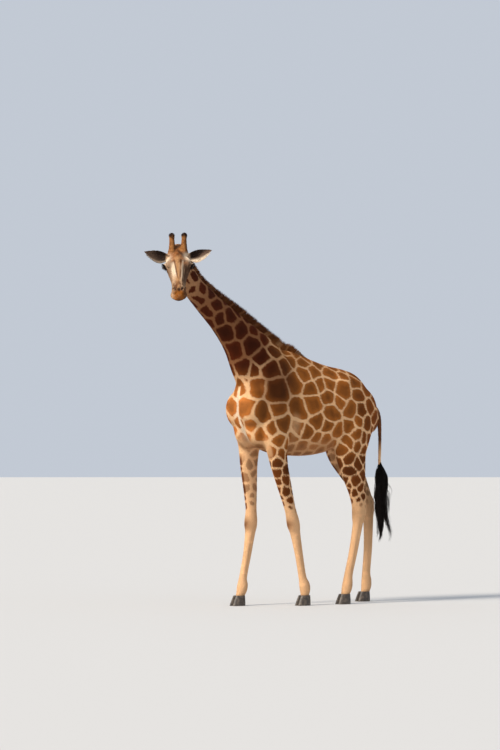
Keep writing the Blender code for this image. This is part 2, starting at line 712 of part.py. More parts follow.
def build_giraffe():
    """Build every part, part them with thin gaps and name them."""
    clear_scene()
    home = collection("giraffe")
    shop = collection("cutters", cutters=True)
    body = build_body(shop)
    head = build_head(shop)

    row, ahead = row_at(NECK, HEAD_CUT), row_at(NECK, HEAD_CUT + 0.2)
    cut_point = Vector(row[:3])
    cut_run = (Vector(ahead[:3]) - cut_point).normalized()
    keep_side(body, cut_point - cut_run * GAP / 2, -cut_run)
    keep_side(head, cut_point + cut_run * GAP / 2, cut_run)
    keep_side(body, Vector((0, 0, HOOF_HEIGHT + GAP)), Vector((0, 0, 1)))

    mane = build_mane(shop)
    tail = build_tail(TAIL, shop)
    cut(body, mane, GAP)
    cut(tail, body, GAP)
    tuft = build_tail(TUFT, shop)
    keep_side(tail, Vector((0, 0, TUFT_TOP + GAP / 2)), Vector((0, 0, 1)))
    keep_side(tuft, Vector((0, 0, TUFT_TOP - GAP / 2)), Vector((0, 0, -1)))
    cut(head, mane, GAP)
    place = head_matrix()
    for sign, side in ((1, "left"), (-1, "right")):
        spot = place @ Vector((sign * EYE_CENTRE.x, EYE_CENTRE.y, EYE_CENTRE.z))
        eye = ellipsoid("eye", spot, (EYE_RADIUS,) * 3, shop, segments=12)
        horn = build_horn(sign, shop)
        ear = build_ear(sign, shop)
        cut(ear, head, GAP)
        cut(head, eye, GAP)
        cut(head, horn, GAP)
        finish(eye, "eye_" + side, "eye", home)
        finish(horn, "ossicone_" + side, "ossicone", home)
        finish(ear, "ear_" + side, "ear", home)
        for leg, table in (("fore", FORE_JOINTS), ("hind", HIND_JOINTS)):
            hoof = build_hoof(table[side], shop)
            finish(hoof, "hoof_%s_%s" % (leg, side), "hoof", home)
    for name, kind, item in part_body(body, shop):
        finish(item, name, kind, home)
    finish(head, "head", "head", home)
    finish(mane, "mane", "mane", home)
    finish(tail, "tail", "tail", home)
    finish(tuft, "tail_tuft", "tuft", home)
    centre_on_floor(home)


def centre_on_floor(home):
    """Move the whole animal so the middle of its outline stands over the origin."""
    points = [vertex.co for item in home.objects for vertex in item.data.vertices]
    low = Vector(min(p[i] for p in points) for i in range(3))
    high = Vector(max(p[i] for p in points) for i in range(3))
    shift = Vector((-(low.x + high.x) / 2, -(low.y + high.y) / 2, -low.z))
    for item in home.objects:
        item.data.transform(Matrix.Translation(shift))
        item.data.update()


build_giraffe()
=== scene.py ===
"""A standing giraffe in its coat: skin, hair, eyes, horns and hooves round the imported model."""
import math

import bmesh
import bpy
import numpy as np
from bpy.props import FloatProperty, FloatVectorProperty, PointerProperty
from mathutils import Matrix, Vector, noise
from mathutils.bvhtree import BVHTree


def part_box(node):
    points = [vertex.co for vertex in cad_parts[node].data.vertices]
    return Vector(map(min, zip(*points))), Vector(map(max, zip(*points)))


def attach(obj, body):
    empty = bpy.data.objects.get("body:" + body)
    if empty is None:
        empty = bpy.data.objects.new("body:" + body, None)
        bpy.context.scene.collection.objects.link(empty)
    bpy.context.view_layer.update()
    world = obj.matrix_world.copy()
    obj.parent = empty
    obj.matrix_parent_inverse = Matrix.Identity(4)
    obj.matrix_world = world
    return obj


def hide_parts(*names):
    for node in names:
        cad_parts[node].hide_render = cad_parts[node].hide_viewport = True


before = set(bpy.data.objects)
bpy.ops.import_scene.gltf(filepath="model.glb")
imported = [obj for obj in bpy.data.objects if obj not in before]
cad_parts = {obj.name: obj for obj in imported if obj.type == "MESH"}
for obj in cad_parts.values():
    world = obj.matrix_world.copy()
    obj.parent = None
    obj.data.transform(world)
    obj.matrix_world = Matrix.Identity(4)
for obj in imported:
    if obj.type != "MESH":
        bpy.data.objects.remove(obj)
noise.seed_set(2)     # without a fixed seed the markings would wander anew at each run
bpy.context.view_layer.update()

bl_info = {
    "name": "Giraffe in its coat",
    "version": (1, 0, 0),
    "blender": (4, 5, 0),
    "location": "View3D > Sidebar > Giraffe",
    "description": "Builds the skin, coat, hair, eyes, horns and hooves of a standing giraffe",
    "category": "Object",
}

SIDES = ((1, "left"), (-1, "right"))
LEGS = (("fore", "left"), ("fore", "right"), ("hind", "left"), ("hind", "right"))
FLESH = [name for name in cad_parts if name.split("_")[0] in (
    "head", "neck", "chest", "barrel", "rump", "foreleg", "hindleg", "ear", "tail")
    and name != "tail_tuft"]

# ---- the animal's own sizes, in metres; x is its left, -y the way it faces --------------------
HEAD_ORIGIN = Vector((0.258, -1.753, 3.620))   # back of the skull
HEAD_YAW = math.radians(57.5)
HEAD_PITCH = math.radians(50.0)
HEAD_ROLL = math.radians(-2.2)
HEAD = (Matrix.Translation(HEAD_ORIGIN) @ Matrix.Rotation(HEAD_YAW, 4, "Z")
        @ Matrix.Rotation(HEAD_PITCH, 4, "X") @ Matrix.Rotation(HEAD_ROLL, 4, "Y"))
HEAD_BACK = np.array(HEAD.inverted())
ACROSS = Vector((1, 0, 0))

EYE_CENTRE = Vector((0.123, -0.300, 0.045))
EYE_RADIUS = 0.028
CORNEA = 0.0012                   # how far the cornea bulges
EYE_AXIS = Vector((0.80, -0.58, 0.10)).normalized()
LID_HALF_WIDTH = 1.10             # half angles of the lid's opening
LID_HALF_HEIGHT = 0.62
LID_SKIN = 0.0042                 # how far the lids stand off the eyeball
EYE_HOLLOW = 0.007                # how deep the skin lies under it in the opening
HORN_BASE = Vector((0.057, -0.150, 0.095))
HORN_LENGTH = 0.180
EAR_ROOT = Vector((0.096, -0.178, 0.050))
EAR_LENGTH = 0.246
EAR_WIDTH = 0.132
EAR_THICKNESS = 0.0085
EAR_REACH = 0.12                  # how far from its axis a point may belong to an ear
EAR_RISE = 0.041                  # how far the tip bends upward
HOOF_HEIGHT = 0.105
HOOF_LENGTH = 0.150
HOOF_WIDTH = 0.126
CLEFT = 0.0024                    # half the gap between the toes

BODY_VOXEL = 0.0125
HEAD_VOXEL = 0.0040
HEAD_CUT = 5.35                   # neck station where the head's finer mesh begins
HEAD_SINK = 0.0022                # how deep the head's skin lies in its coat
BODY_GAP, HEAD_GAP = 0.012, 0.006     # how far both meshes end from that station
RIB_SPACING = 0.082
RIB_HEIGHT = 0.0022

# y, top, bottom, half width, height of the widest level
TRUNK = (
    (-0.86, 2.170, 1.960, 0.070, 0.45), (-0.81, 2.330, 1.840, 0.155, 0.45),
    (-0.70, 2.470, 1.700, 0.220, 0.45), (-0.52, 2.580, 1.585, 0.262, 0.42),
    (-0.28, 2.640, 1.545, 0.285, 0.40), (0.00, 2.560, 1.540, 0.312, 0.42),
    (0.24, 2.490, 1.580, 0.315, 0.44), (0.44, 2.455, 1.660, 0.288, 0.48),
    (0.62, 2.395, 1.760, 0.236, 0.50), (0.77, 2.225, 1.840, 0.175, 0.50),
    (0.88, 2.070, 1.900, 0.090, 0.50),
)
# centre line x, y, z, half width, half depth
NECK = (
    (0.000, -0.360, 2.190, 0.220, 0.380), (0.000, -0.640, 2.520, 0.185, 0.300),
    (0.010, -0.846, 2.744, 0.140, 0.212), (0.035, -1.055, 2.924, 0.119, 0.162),
    (0.080, -1.280, 3.085, 0.104, 0.136), (0.130, -1.485, 3.240, 0.096, 0.120),
    (0.185, -1.642, 3.380, 0.090, 0.111), (0.232, -1.738, 3.515, 0.084, 0.100),
)
# distance from the back of the skull, top, bottom, half width, height of the widest level
SKULL = (
    (-0.030, 0.020, -0.050, 0.045, 0.50), (0.030, 0.078, -0.110, 0.086, 0.55),
    (0.100, 0.112, -0.148, 0.104, 0.60), (0.180, 0.128, -0.158, 0.108, 0.62),
    (0.260, 0.131, -0.146, 0.117, 0.62), (0.330, 0.115, -0.122, 0.110, 0.58),
    (0.405, 0.088, -0.094, 0.088, 0.54), (0.480, 0.068, -0.076, 0.073, 0.52),
    (0.550, 0.054, -0.070, 0.067, 0.50), (0.606, 0.044, -0.074, 0.072, 0.46),
    (0.655, 0.020, -0.070, 0.063, 0.44), (0.686, -0.010, -0.050, 0.038, 0.45),
)
FOREHEAD = ((0, -0.235, 0.108), (0.050, 0.090, 0.032))     # centre, radii
HEAD_MASSES = (
    ((0.086, -0.285, 0.083), (0.042, 0.070, 0.030)),     # brow over the eye
    ((0.088, -0.300, 0.020), (0.038, 0.070, 0.050)),     # cheek bone under the eye
    ((0.066, -0.190, -0.060), (0.046, 0.120, 0.085)),    # jaw muscle
    ((0.036, -0.600, 0.018), (0.036, 0.050, 0.030)),     # nostril wing
    ((0.038, -0.622, -0.028), (0.042, 0.056, 0.034)),    # upper lip
    ((0.026, -0.606, -0.060), (0.040, 0.050, 0.028)),    # chin
    ((0.055, -0.150, 0.085), (0.040, 0.045, 0.045)),     # seat of the horn
)
# where the melted head is smoothed once more: centre, reach, rounds
SOFT_PLACES = (
    ((0.075, -0.270, 0.100), 0.062, 40),     # from the brow to the forehead
    ((0.070, -0.350, 0.060), 0.050, 30),     # from the brow to the nose
    ((0.046, -0.590, 0.000), 0.052, 28),     # wing of the nostril
)
FORE_JOINTS = {
    "left": ((0.165, -0.500, 2.150), (0.200, -0.510, 1.620), (0.190, -0.286, 0.850),
             (0.172, -0.140, 0.200), (0.170, -0.128, 0.070)),
    "right": ((-0.165, -0.530, 2.150), (-0.200, -0.575, 1.620), (-0.190, -0.552, 0.850),
              (-0.172, -0.682, 0.200), (-0.170, -0.710, 0.070)),
}
HIND_JOINTS = {
    "left": ((0.145, 0.600, 2.080), (0.200, 0.410, 1.640), (0.200, 0.545, 0.960),
             (0.180, 0.404, 0.200), (0.178, 0.382, 0.070)),
    "right": ((-0.145, 0.620, 2.080), (-0.200, 0.590, 1.640), (-0.185, 0.945, 0.990),
              (-0.180, 0.925, 0.200), (-0.178, 0.906, 0.070)),
}
# place along the joints, half width, half depth, shift to the rear
FORE_FORM = (
    (0.00, 0.075, 0.150, 0.00), (0.45, 0.098, 0.185, 0.00), (0.80, 0.092, 0.165, 0.01),
    (1.00, 0.080, 0.132, 0.01), (1.25, 0.067, 0.103, 0.00), (1.55, 0.056, 0.080, 0.00),
    (1.82, 0.049, 0.063, 0.00), (1.94, 0.058, 0.068, 0.00), (2.03, 0.058, 0.068, 0.00),
    (2.15, 0.047, 0.056, 0.00), (2.45, 0.038, 0.046, 0.00), (2.78, 0.037, 0.045, 0.00),
    (2.94, 0.049, 0.058, 0.01), (3.08, 0.050, 0.058, 0.01), (3.55, 0.043, 0.045, 0.00),
    (4.00, 0.052, 0.054, 0.00),
)
HIND_FORM = (
    (0.00, 0.105, 0.200, 0.00), (0.50, 0.120, 0.252, 0.02), (0.85, 0.108, 0.225, 0.04),
    (1.10, 0.095, 0.200, 0.03), (1.40, 0.078, 0.156, 0.02), (1.70, 0.060, 0.108, 0.01),
    (1.88, 0.055, 0.088, 0.01), (1.98, 0.057, 0.083, 0.01), (2.08, 0.052, 0.070, 0.00),
    (2.20, 0.045, 0.057, 0.00), (2.50, 0.041, 0.049, 0.00), (2.80, 0.040, 0.048, 0.00),
    (2.94, 0.049, 0.057, 0.01), (3.08, 0.050, 0.057, 0.01), (3.55, 0.043, 0.045, 0.00),
    (4.00, 0.052, 0.054, 0.00),
)
MASSES = (
    ((0.135, -0.735, 2.020), (0.120, 0.155, 0.200)),     # point of the shoulder
    ((0.160, -0.480, 2.230), (0.110, 0.230, 0.380)),     # shoulder blade
    ((0.110, -0.650, 1.830), (0.110, 0.160, 0.220)),     # breast
    ((0.195, 0.340, 2.270), (0.070, 0.160, 0.110)),      # point of the hip
    ((0.125, 0.590, 2.000), (0.135, 0.245, 0.280)),      # haunch
    ((0.085, 0.775, 1.940), (0.080, 0.120, 0.170)),      # buttock
)
# balls at the back of the joints: how far they lie from the joint, radii
FETLOCK_AWAY, FETLOCK_RADII = Vector((0, 0.040, -0.012)), (0.034, 0.026, 0.030)
HOCK_AWAY, HOCK_RADII = Vector((0, 0.050, 0.050)), (0.036, 0.044, 0.085)
# centre line y, z, radius
TAIL = (
    (0.840, 2.050, 0.050), (0.915, 2.020, 0.040), (0.965, 1.930, 0.027), (0.980, 1.750, 0.018),
    (0.975, 1.450, 0.015),
)
# centre line y, z, radius
TUFT = (
    (0.975, 1.500, 0.016), (0.985, 1.420, 0.034), (0.995, 1.310, 0.062), (0.985, 1.150, 0.060),
    (0.965, 0.980, 0.050), (0.975, 0.820, 0.042), (0.990, 0.700, 0.032), (0.980, 0.590, 0.012),
)
TAIL_SINK = 0.003                 # how deep the tail's flesh lies in its hair
# share of the length, radius
HORN_FORM = (
    (0.00, 0.038), (0.20, 0.031), (0.45, 0.0250), (0.68, 0.0225), (0.80, 0.0235),
    (0.90, 0.0240), (0.97, 0.0180), (1.00, 0.009),
)
# height above the base, radius
HORN_SEAT = ((-0.040, 0.052), (0.0, 0.044), (0.030, 0.034), (0.060, 0.027), (0.085, 0.021))
# share of the length, share of the width
EAR_FORM = (
    (0.0, 0.46), (0.12, 0.64), (0.28, 0.90), (0.45, 0.95), (0.62, 0.80), (0.80, 0.50),
    (0.92, 0.25), (1.0, 0.05),
)
# share of the length, half angle of the curl
EAR_CURL = ((0.0, 2.4), (0.2, 1.5), (0.5, 0.85), (1.0, 0.35))
# share of the height, of the width, of the length
HOOF_FORM = (
    (0.0, 1.0, 1.0), (0.12, 1.0, 1.0), (0.55, 0.91, 0.89), (0.86, 0.84, 0.78), (1.0, 0.80, 0.74),
)

# Raised and hollow places of the trunk, left side: centre, radii, height
RELIEF = (
    ((0.235, -0.500, 2.210), (0.080, 0.040, 0.260), 0.010),      # ridge of the shoulder blade
    ((0.275, -0.270, 2.060), (0.100, 0.045, 0.260), -0.014),     # hollow behind the shoulder
    ((0.230, -0.640, 1.930), (0.090, 0.100, 0.080), 0.008),      # upper arm
    ((0.180, -0.780, 2.260), (0.080, 0.060, 0.120), -0.012),     # base of the neck
    ((0.255, 0.380, 2.310), (0.070, 0.060, 0.050), 0.012),       # point of the hip
    ((0.270, 0.210, 2.230), (0.090, 0.090, 0.090), -0.016),      # hollow of the flank
    ((0.250, 0.300, 1.740), (0.090, 0.050, 0.150), -0.013),      # fold before the thigh
    ((0.230, 0.700, 1.900), (0.090, 0.035, 0.230), -0.010),      # seam of the haunch
    ((0.230, 0.480, 1.850), (0.090, 0.090, 0.180), 0.010),       # thigh
    ((0.000, -0.800, 1.930), (0.022, 0.200, 0.260), -0.016),     # cleft of the breast
    ((0.070, -0.790, 2.000), (0.060, 0.120, 0.180), 0.010),      # swell of the breast
    ((0.150, -0.420, 1.580), (0.090, 0.050, 0.080), -0.010),     # armpit
)


def _shift():
    """Return how far the animal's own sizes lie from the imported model, read at its left eye."""
    low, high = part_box("eye_left")
    return (low + high) / 2 - HEAD @ EYE_CENTRE


SHIFT = _shift()


# ---- numbers ---------------------------------------------------------------------------------
def ease(value, low, high):
    """Return 0 below low, 1 above high and a smooth rise between; works on arrays."""
    t = np.clip((value - low) / (high - low), 0.0, 1.0)
    return t * t * (3.0 - 2.0 * t)


def curve(rows, steps):
    """Resample a short table of stations with a smooth curve through every row."""
    table = np.array(rows, dtype=float)
    padded = np.vstack([2 * table[0] - table[1], table, 2 * table[-1] - table[-2]])
    out = []
    for index in range(len(table) - 1):
        a, b, c, d = padded[index:index + 4]
        for step in range(steps):
            t = step / steps
            out.append(0.5 * (2 * b + (c - a) * t + (2 * a - 5 * b + 4 * c - d) * t ** 2
                              + (3 * b - a - 3 * c + d) * t ** 3))
    out.append(table[-1])
    return np.array(out)


def unit(vectors):
    """Return vectors scaled to length one."""
    return vectors / np.maximum(np.linalg.norm(vectors, axis=-1, keepdims=True), 1e-9)


def in_head(points):
    """Return points in the head's own frame, in which it faces -Y and its left is +X."""
    return points @ HEAD_BACK[:3, :3].T + HEAD_BACK[:3, 3]


def from_head(vector):
    """Return a direction of the head's own frame as the animal holds it."""
    return np.array(HEAD.to_3x3() @ Vector(vector))


def tangent(vectors, normals):
    """Return unit vectors laid flat on the surface with these normals."""
    flat = vectors - normals * np.sum(vectors * normals, axis=1, keepdims=True)
    return unit(flat)


def wander(points, size, strength):
    """Return smooth random offsets for points; size is the wavelength."""
    moved = [noise.noise_vector(Vector(p) / size) for p in points]
    return np.array(moved) * strength


def grain(points, rate, shift=(0, 0, 0)):
    """Return smooth noise about zero at points; a higher rate makes a finer grain."""
    shift = Vector(shift)
    return np.array([noise.noise(Vector(p) * rate + shift) for p in points])


def limit(value):
    """Return values held between 0 and 1."""
    return np.clip(value, 0, 1)


def hill(*terms, power=2):
    """Return a soft bump, 1 where every value is at its middle.

    Each term holds a value, its middle and its width.
    """
    return np.exp(-sum(((value - middle) / width) ** power for value, middle, width in terms))


def blob(points, centre, radii):
    """Return a soft round share, 1 at a centre and near 0 beyond its radii."""
    return np.exp(-np.sum(((points - centre) / radii) ** 2, axis=1))


def sided(place, side):
    """Return a place given for the left half as it lies on one side: 1 is left, -1 right."""
    return Vector((side * place[0], place[1], place[2]))


# ---- shapes ----------------------------------------------------------------------------------
def add_loft(form, rings):
    """Skin a list of equal rings of points into a closed shell inside a bmesh."""
    loops = [[form.verts.new(point) for point in ring] for ring in rings]
    count = len(loops[0])
    faces = []
    for first, second in zip(loops, loops[1:]):
        for i in range(count):
            j = (i + 1) % count
            faces.append(form.faces.new((first[i], first[j], second[j], second[i])))
    for loop in (loops[0], loops[-1]):
        middle = form.verts.new(sum((v.co for v in loop), Vector()) / count)
        for i in range(count):
            faces.append(form.faces.new((loop[i], loop[(i + 1) % count], middle)))
    bmesh.ops.recalc_face_normals(form, faces=faces)


def add_ball(form, centre, radii):
    """Add a ball stretched to three radii to a bmesh."""
    matrix = Matrix.Translation(Vector(centre)) @ Matrix.Diagonal((*radii, 1.0))
    bmesh.ops.create_uvsphere(form, u_segments=32, v_segments=16, radius=1.0, matrix=matrix)


def add_pairs(form, masses):
    """Add a ball and its mirror image for every centre and radii of a table."""
    for centre, radii in masses:
        add_ball(form, centre, radii)
        add_ball(form, mirrored(centre), radii)


def egg_ring(y, top, bottom, half_width, level, count=48):
    """Return an egg-shaped ring across the Y axis."""
    middle = bottom + (top - bottom) * level
    ring = []
    for i in range(count):
        angle = 2 * math.pi * i / count
        rise = math.sin(angle)
        reach = top - middle if rise > 0 else middle - bottom
        ring.append(Vector((half_width * math.cos(angle), y, middle + reach * rise)))
    return ring


def tube_rings(rows, count=32):
    """Return rings square to a centre line; rows hold x, y, z, half width and half depth."""
    points = [Vector(row[:3]) for row in rows]
    rings = []
    for i, row in enumerate(rows):
        along = points[min(i + 1, len(points) - 1)] - points[max(i - 1, 0)]
        along.normalize()
        across = (ACROSS - along * ACROSS.dot(along)).normalized()
        deep = along.cross(across)
        ring = []
        for k in range(count):
            angle = 2 * math.pi * k / count
            ring.append(points[i] + across * row[3] * math.cos(angle)
                        + deep * row[4] * math.sin(angle))
        rings.append(ring)
    return rings


def leg_rows(joints, shape):
    """Return the stations of one leg, bent smoothly through its joints."""
    line = curve(joints, 20)
    rows = []
    for place, width, depth, shift in shape:
        point = line[int(round(place * 20))]
        rows.append((point[0], point[1] + shift, point[2], width, depth))
    return curve(rows, 6)


def mirrored(point):
    """Return a point reflected to the other side of the body."""
    return (-point[0], point[1], point[2])


def to_mesh(name, form):
    """Return a mesh made of a bmesh, which is used up."""
    mesh = bpy.data.meshes.new(name)
    form.to_mesh(mesh)
    form.free()
    return mesh


def new_object(name, data):
    """Return a new object that is part of the scene."""
    item = bpy.data.objects.new(name, data)
    bpy.context.scene.collection.objects.link(item)
    return item


def modified(item):
    """Return the mesh that an object's modifiers make."""
    graph = bpy.context.evaluated_depsgraph_get()
    return bpy.data.meshes.new_from_object(item.evaluated_get(graph))


def melted(form, voxel, rounds, soft_rounds=0, soft_above=0.0):
    """Melt overlapping shells into one smooth skin and return it as a bmesh.

    Above a height, the skin is smoothed for more rounds.
    """
    item = new_object("melt", to_mesh("melt", form))
    melt = item.modifiers.new("melt", "REMESH")
    melt.mode = "VOXEL"
    melt.voxel_size = voxel
    relax = item.modifiers.new("relax", "SMOOTH")
    relax.factor = 0.5
    relax.iterations = rounds
    mesh = modified(item)
    item.modifiers.clear()
    item.data = mesh
    if soft_rounds:
        heights = np.zeros(len(mesh.vertices) * 3)
        mesh.vertices.foreach_get("co", heights)
        weights = ease(heights[2::3], soft_above, soft_above + 0.3)
        group = item.vertex_groups.new(name="soft")
        for index in np.flatnonzero(weights > 0):
            group.add([int(index)], float(weights[index]), "REPLACE")
        relax = item.modifiers.new("soften", "SMOOTH")
        relax.factor = 0.5
        relax.iterations = soft_rounds
        relax.vertex_group = group.name
        mesh = modified(item)
    bpy.data.objects.remove(item, do_unlink=True)
    result = bmesh.new()
    result.from_mesh(mesh)
    bpy.data.meshes.remove(mesh)
    return result


def coordinates(form):
    """Return a bmesh's points and normals as arrays."""
    form.normal_update()
    points = np.array([v.co for v in form.verts])
    normals = np.array([v.normal for v in form.verts])
    return points, normals


def place_points(form, points):
    """Move a bmesh's vertices to an array of points."""
    for vertex, point in zip(form.verts, points):
        vertex.co = point


# ---- skin ------------------------------------------------------------------------------------
def body_form():
    """Return trunk, neck and legs as one smooth closed skin."""
    form = bmesh.new()
    add_loft(form, [egg_ring(*row) for row in curve(TRUNK, 6)])
    add_loft(form, tube_rings(curve(NECK, 8), 48))
    for joints, shape in ((FORE_JOINTS, FORE_FORM), (HIND_JOINTS, HIND_FORM)):
        for line in joints.values():
            add_loft(form, tube_rings(leg_rows(line, shape)))
            add_ball(form, Vector(line[3]) + FETLOCK_AWAY, FETLOCK_RADII)
    for line in HIND_JOINTS.values():
        add_ball(form, Vector(line[2]) + HOCK_AWAY, HOCK_RADII)
    add_pairs(form, MASSES)
    return melted(form, BODY_VOXEL, rounds=7, soft_rounds=35, soft_above=1.35)


def tail_form():
    """Return the tail's flesh as a fine closed shell."""
    form = bmesh.new()
    rows = [(0.0, y, z, size - TAIL_SINK, size - TAIL_SINK) for y, z, size in curve(TAIL, 10)]
    add_loft(form, tube_rings(rows, 20))
    return form


def sculpt_body(form):
    """Raise and hollow the body's muscles, ribs and tendons, then sink it by the coat's depth."""
    points, normals = coordinates(form)
    x, y, z = points.T
    lift = np.zeros(len(points))
    for centre, radii, height in RELIEF:
        for spot in {centre, mirrored(centre)}:
            lift += height * blob(points, spot, radii)
    side = np.abs(normals[:, 0])
    ribs = np.sin((y + 0.25 * z) * 2 * math.pi / RIB_SPACING)
    cage = ease(y, -0.20, -0.05) * (1 - ease(y, 0.18, 0.34))
    cage = cage * ease(z, 1.62, 1.78) * (1 - ease(z, 2.20, 2.38))
    lift += RIB_HEIGHT * ribs * cage * side
    for joints, back in ((FORE_JOINTS, 0.013), (HIND_JOINTS, 0.016)):
        for line in joints.values():
            knee, fetlock = np.array(line[2]), np.array(line[3])
            share = limit((knee[2] - z) / (knee[2] - fetlock[2]))
            middle = knee + (fetlock - knee) * share[:, None]
            near = (np.abs(x - middle[:, 0]) < 0.08) & (np.abs(y - middle[:, 1]) < 0.15)
            groove = hill((y - middle[:, 1], back, 0.010))
            span = ease(share, 0.06, 0.22) * (1 - ease(share, 0.78, 0.95))
            lift -= 0.0060 * groove * span * near * side
            lift += 0.006 * blob(points - knee, (0, -0.035, 0.0), (0.05, 0.04, 0.06))
    settings = bpy.context.scene.giraffe_coat
    depth = settings.coat_depth * (0.45 + 0.55 * ease(z, 0.7, 1.5))
    place_points(form, points + normals * (lift - depth)[:, None])


def ear_frame(side):
    """Return an ear's root and its outward, upward and forward directions."""
    root = HEAD @ sided(EAR_ROOT, side)
    out = (HEAD.to_3x3() @ Vector((side, 0, 0)) + Vector((0, 0, 0.09))).normalized()
    up = (Vector((0, 0, 1)) - out * out.z).normalized()
    return root, out, up, out.cross(up) * side


def ear_point(side, along, across, raised=0.0):
    """Return a point of the ear's blade; across runs from -1 at its lower edge to 1."""
    root, out, up, front = ear_frame(side)
    width = EAR_WIDTH * np.interp(along, *zip(*EAR_FORM)) / 2
    curl = np.interp(along, *zip(*EAR_CURL))
    turn = across * curl
    wide = width * math.sin(turn) / max(math.sin(min(curl, math.pi / 2)), 0.3)
    wide = wide * (0.75 if turn > 0 else 1.15) + EAR_RISE * along ** 1.5
    deep = width * (1 - math.cos(turn)) * 0.85
    return root + out * EAR_LENGTH * along + up * wide + front * (deep - 0.01 + raised)


def ear_shell(side, columns=40, rows=24):
    """Return one leaf-shaped ear as a thin closed shell with tapering edges."""
    form = bmesh.new()
    grid = [[form.verts.new(ear_point(side, i / columns, 2 * j / rows - 1))
             for j in range(rows + 1)] for i in range(columns + 1)]
    for i in range(columns):
        for j in range(rows):
            form.faces.new((grid[i][j], grid[i + 1][j], grid[i + 1][j + 1], grid[i][j + 1]))
    item = new_object("ear", to_mesh("ear", form))
    wall = item.modifiers.new("wall", "SOLIDIFY")
    wall.thickness = EAR_THICKNESS
    wall.offset = 0.0
    mesh = modified(item)
    bpy.data.objects.remove(item, do_unlink=True)
    return mesh


def head_form():
    """Return head, ears and the top of the neck as one smooth closed skin."""
    form = bmesh.new()
    add_loft(form, [egg_ring(-row[0], *row[1:]) for row in curve(SKULL, 6)])
    add_ball(form, *FOREHEAD)
    add_pairs(form, HEAD_MASSES)
    for side, _ in SIDES:
        add_ball(form, sided(EYE_CENTRE, side), (EYE_RADIUS + 0.004,) * 3)
    form.transform(HEAD)
    for side, _ in SIDES:
        base, rise = horn_axis(side)
        rows = [(*(base + rise * high), size, size) for high, size in HORN_SEAT]
        add_loft(form, tube_rings(rows, 32))
    add_loft(form, tube_rings(curve(NECK, 8)[32:], 48))
    for side, _ in SIDES:
        form.from_mesh(ear_shell(side))
    return melted(form, HEAD_VOXEL, rounds=13)


def eye_axes(side):
    """Return the directions in which an eye looks, its front corner lies and its lid rises."""
    axis = np.array(sided(EYE_AXIS, side))
    forward = np.array((0.0, -1.0, -0.42))
    forward = unit(forward - axis * forward.dot(axis))
    return axis, forward, np.cross(axis, forward) * -side


def eye_angles(points, side):
    """Return angles along and across an eye's opening, the distance and which points face out."""
    axis, forward, rise = eye_axes(side)
    away = points - np.array(sided(EYE_CENTRE, side))
    far = np.linalg.norm(away, axis=1)
    out, ahead, up = away @ axis, away @ forward, away @ rise
    return np.arctan2(ahead, out), np.arctan2(up, np.hypot(out, ahead)), far, out > 0


def lid_shape(ahead):
    """Return the opening of the lids at angles along it, as a share of its full height."""
    return limit(1 - (ahead / LID_HALF_WIDTH) ** 2) ** 0.75


def sculpt_lids(points, side):
    """Return points of the head, in its own frame, with the eyelids opened round one eye."""
    ahead, up, far, faces_out = eye_angles(points, side)
    centre = np.array(sided(EYE_CENTRE, side))
    half = np.where(up > 0, LID_HALF_HEIGHT * 0.92, LID_HALF_HEIGHT) * lid_shape(ahead)
    inside = half - np.abs(up)
    inside = np.where(np.abs(ahead) > LID_HALF_WIDTH, -(np.abs(ahead) - LID_HALF_WIDTH), inside)
    lid = EYE_RADIUS + LID_SKIN
    rim = hill((inside, -0.07, 0.10))
    crease = hill((inside, -0.42, 0.08)) * (up > 0)
    bag = hill((inside, -0.36, 0.08)) * (up <= 0)
    outer = np.maximum(far, lid) + 0.0016 * rim - 0.0032 * crease - 0.0018 * bag
    blend = ease(-inside, 0.0, 0.75)
    outer = lid * (1 - blend) + outer * blend + 0.0014 * rim * (1 - blend)
    opened = ease(inside, -0.02, 0.03)
    wanted = outer * (1 - opened) + (EYE_RADIUS - EYE_HOLLOW) * opened
    zone = faces_out & (far < 0.060)
    fade = 1 - ease(far, 0.046, 0.060)
    scale = np.where(zone, (wanted * fade + far * (1 - fade)) / np.maximum(far, 1e-6), 1.0)
    return centre + (points - centre) * scale[:, None]


NOSTRIL = np.array((0.039, -0.600, 0.040))
NOSTRIL_RUN = unit(np.array((0.42, 0.86, 0.20)))
# where the head's mesh is made finer: centre, reach
FINE_PLACES = ((EYE_CENTRE, 0.055), (EYE_CENTRE, 0.048), (NOSTRIL, 0.036))


def nostril_places(points, side):
    """Return the distance along and off one nostril's slit."""
    run = NOSTRIL_RUN * (side, 1, 1)
    away = points - NOSTRIL * (side, 1, 1)
    along = away @ run
    return along, np.linalg.norm(away - along[:, None] * run, axis=1)


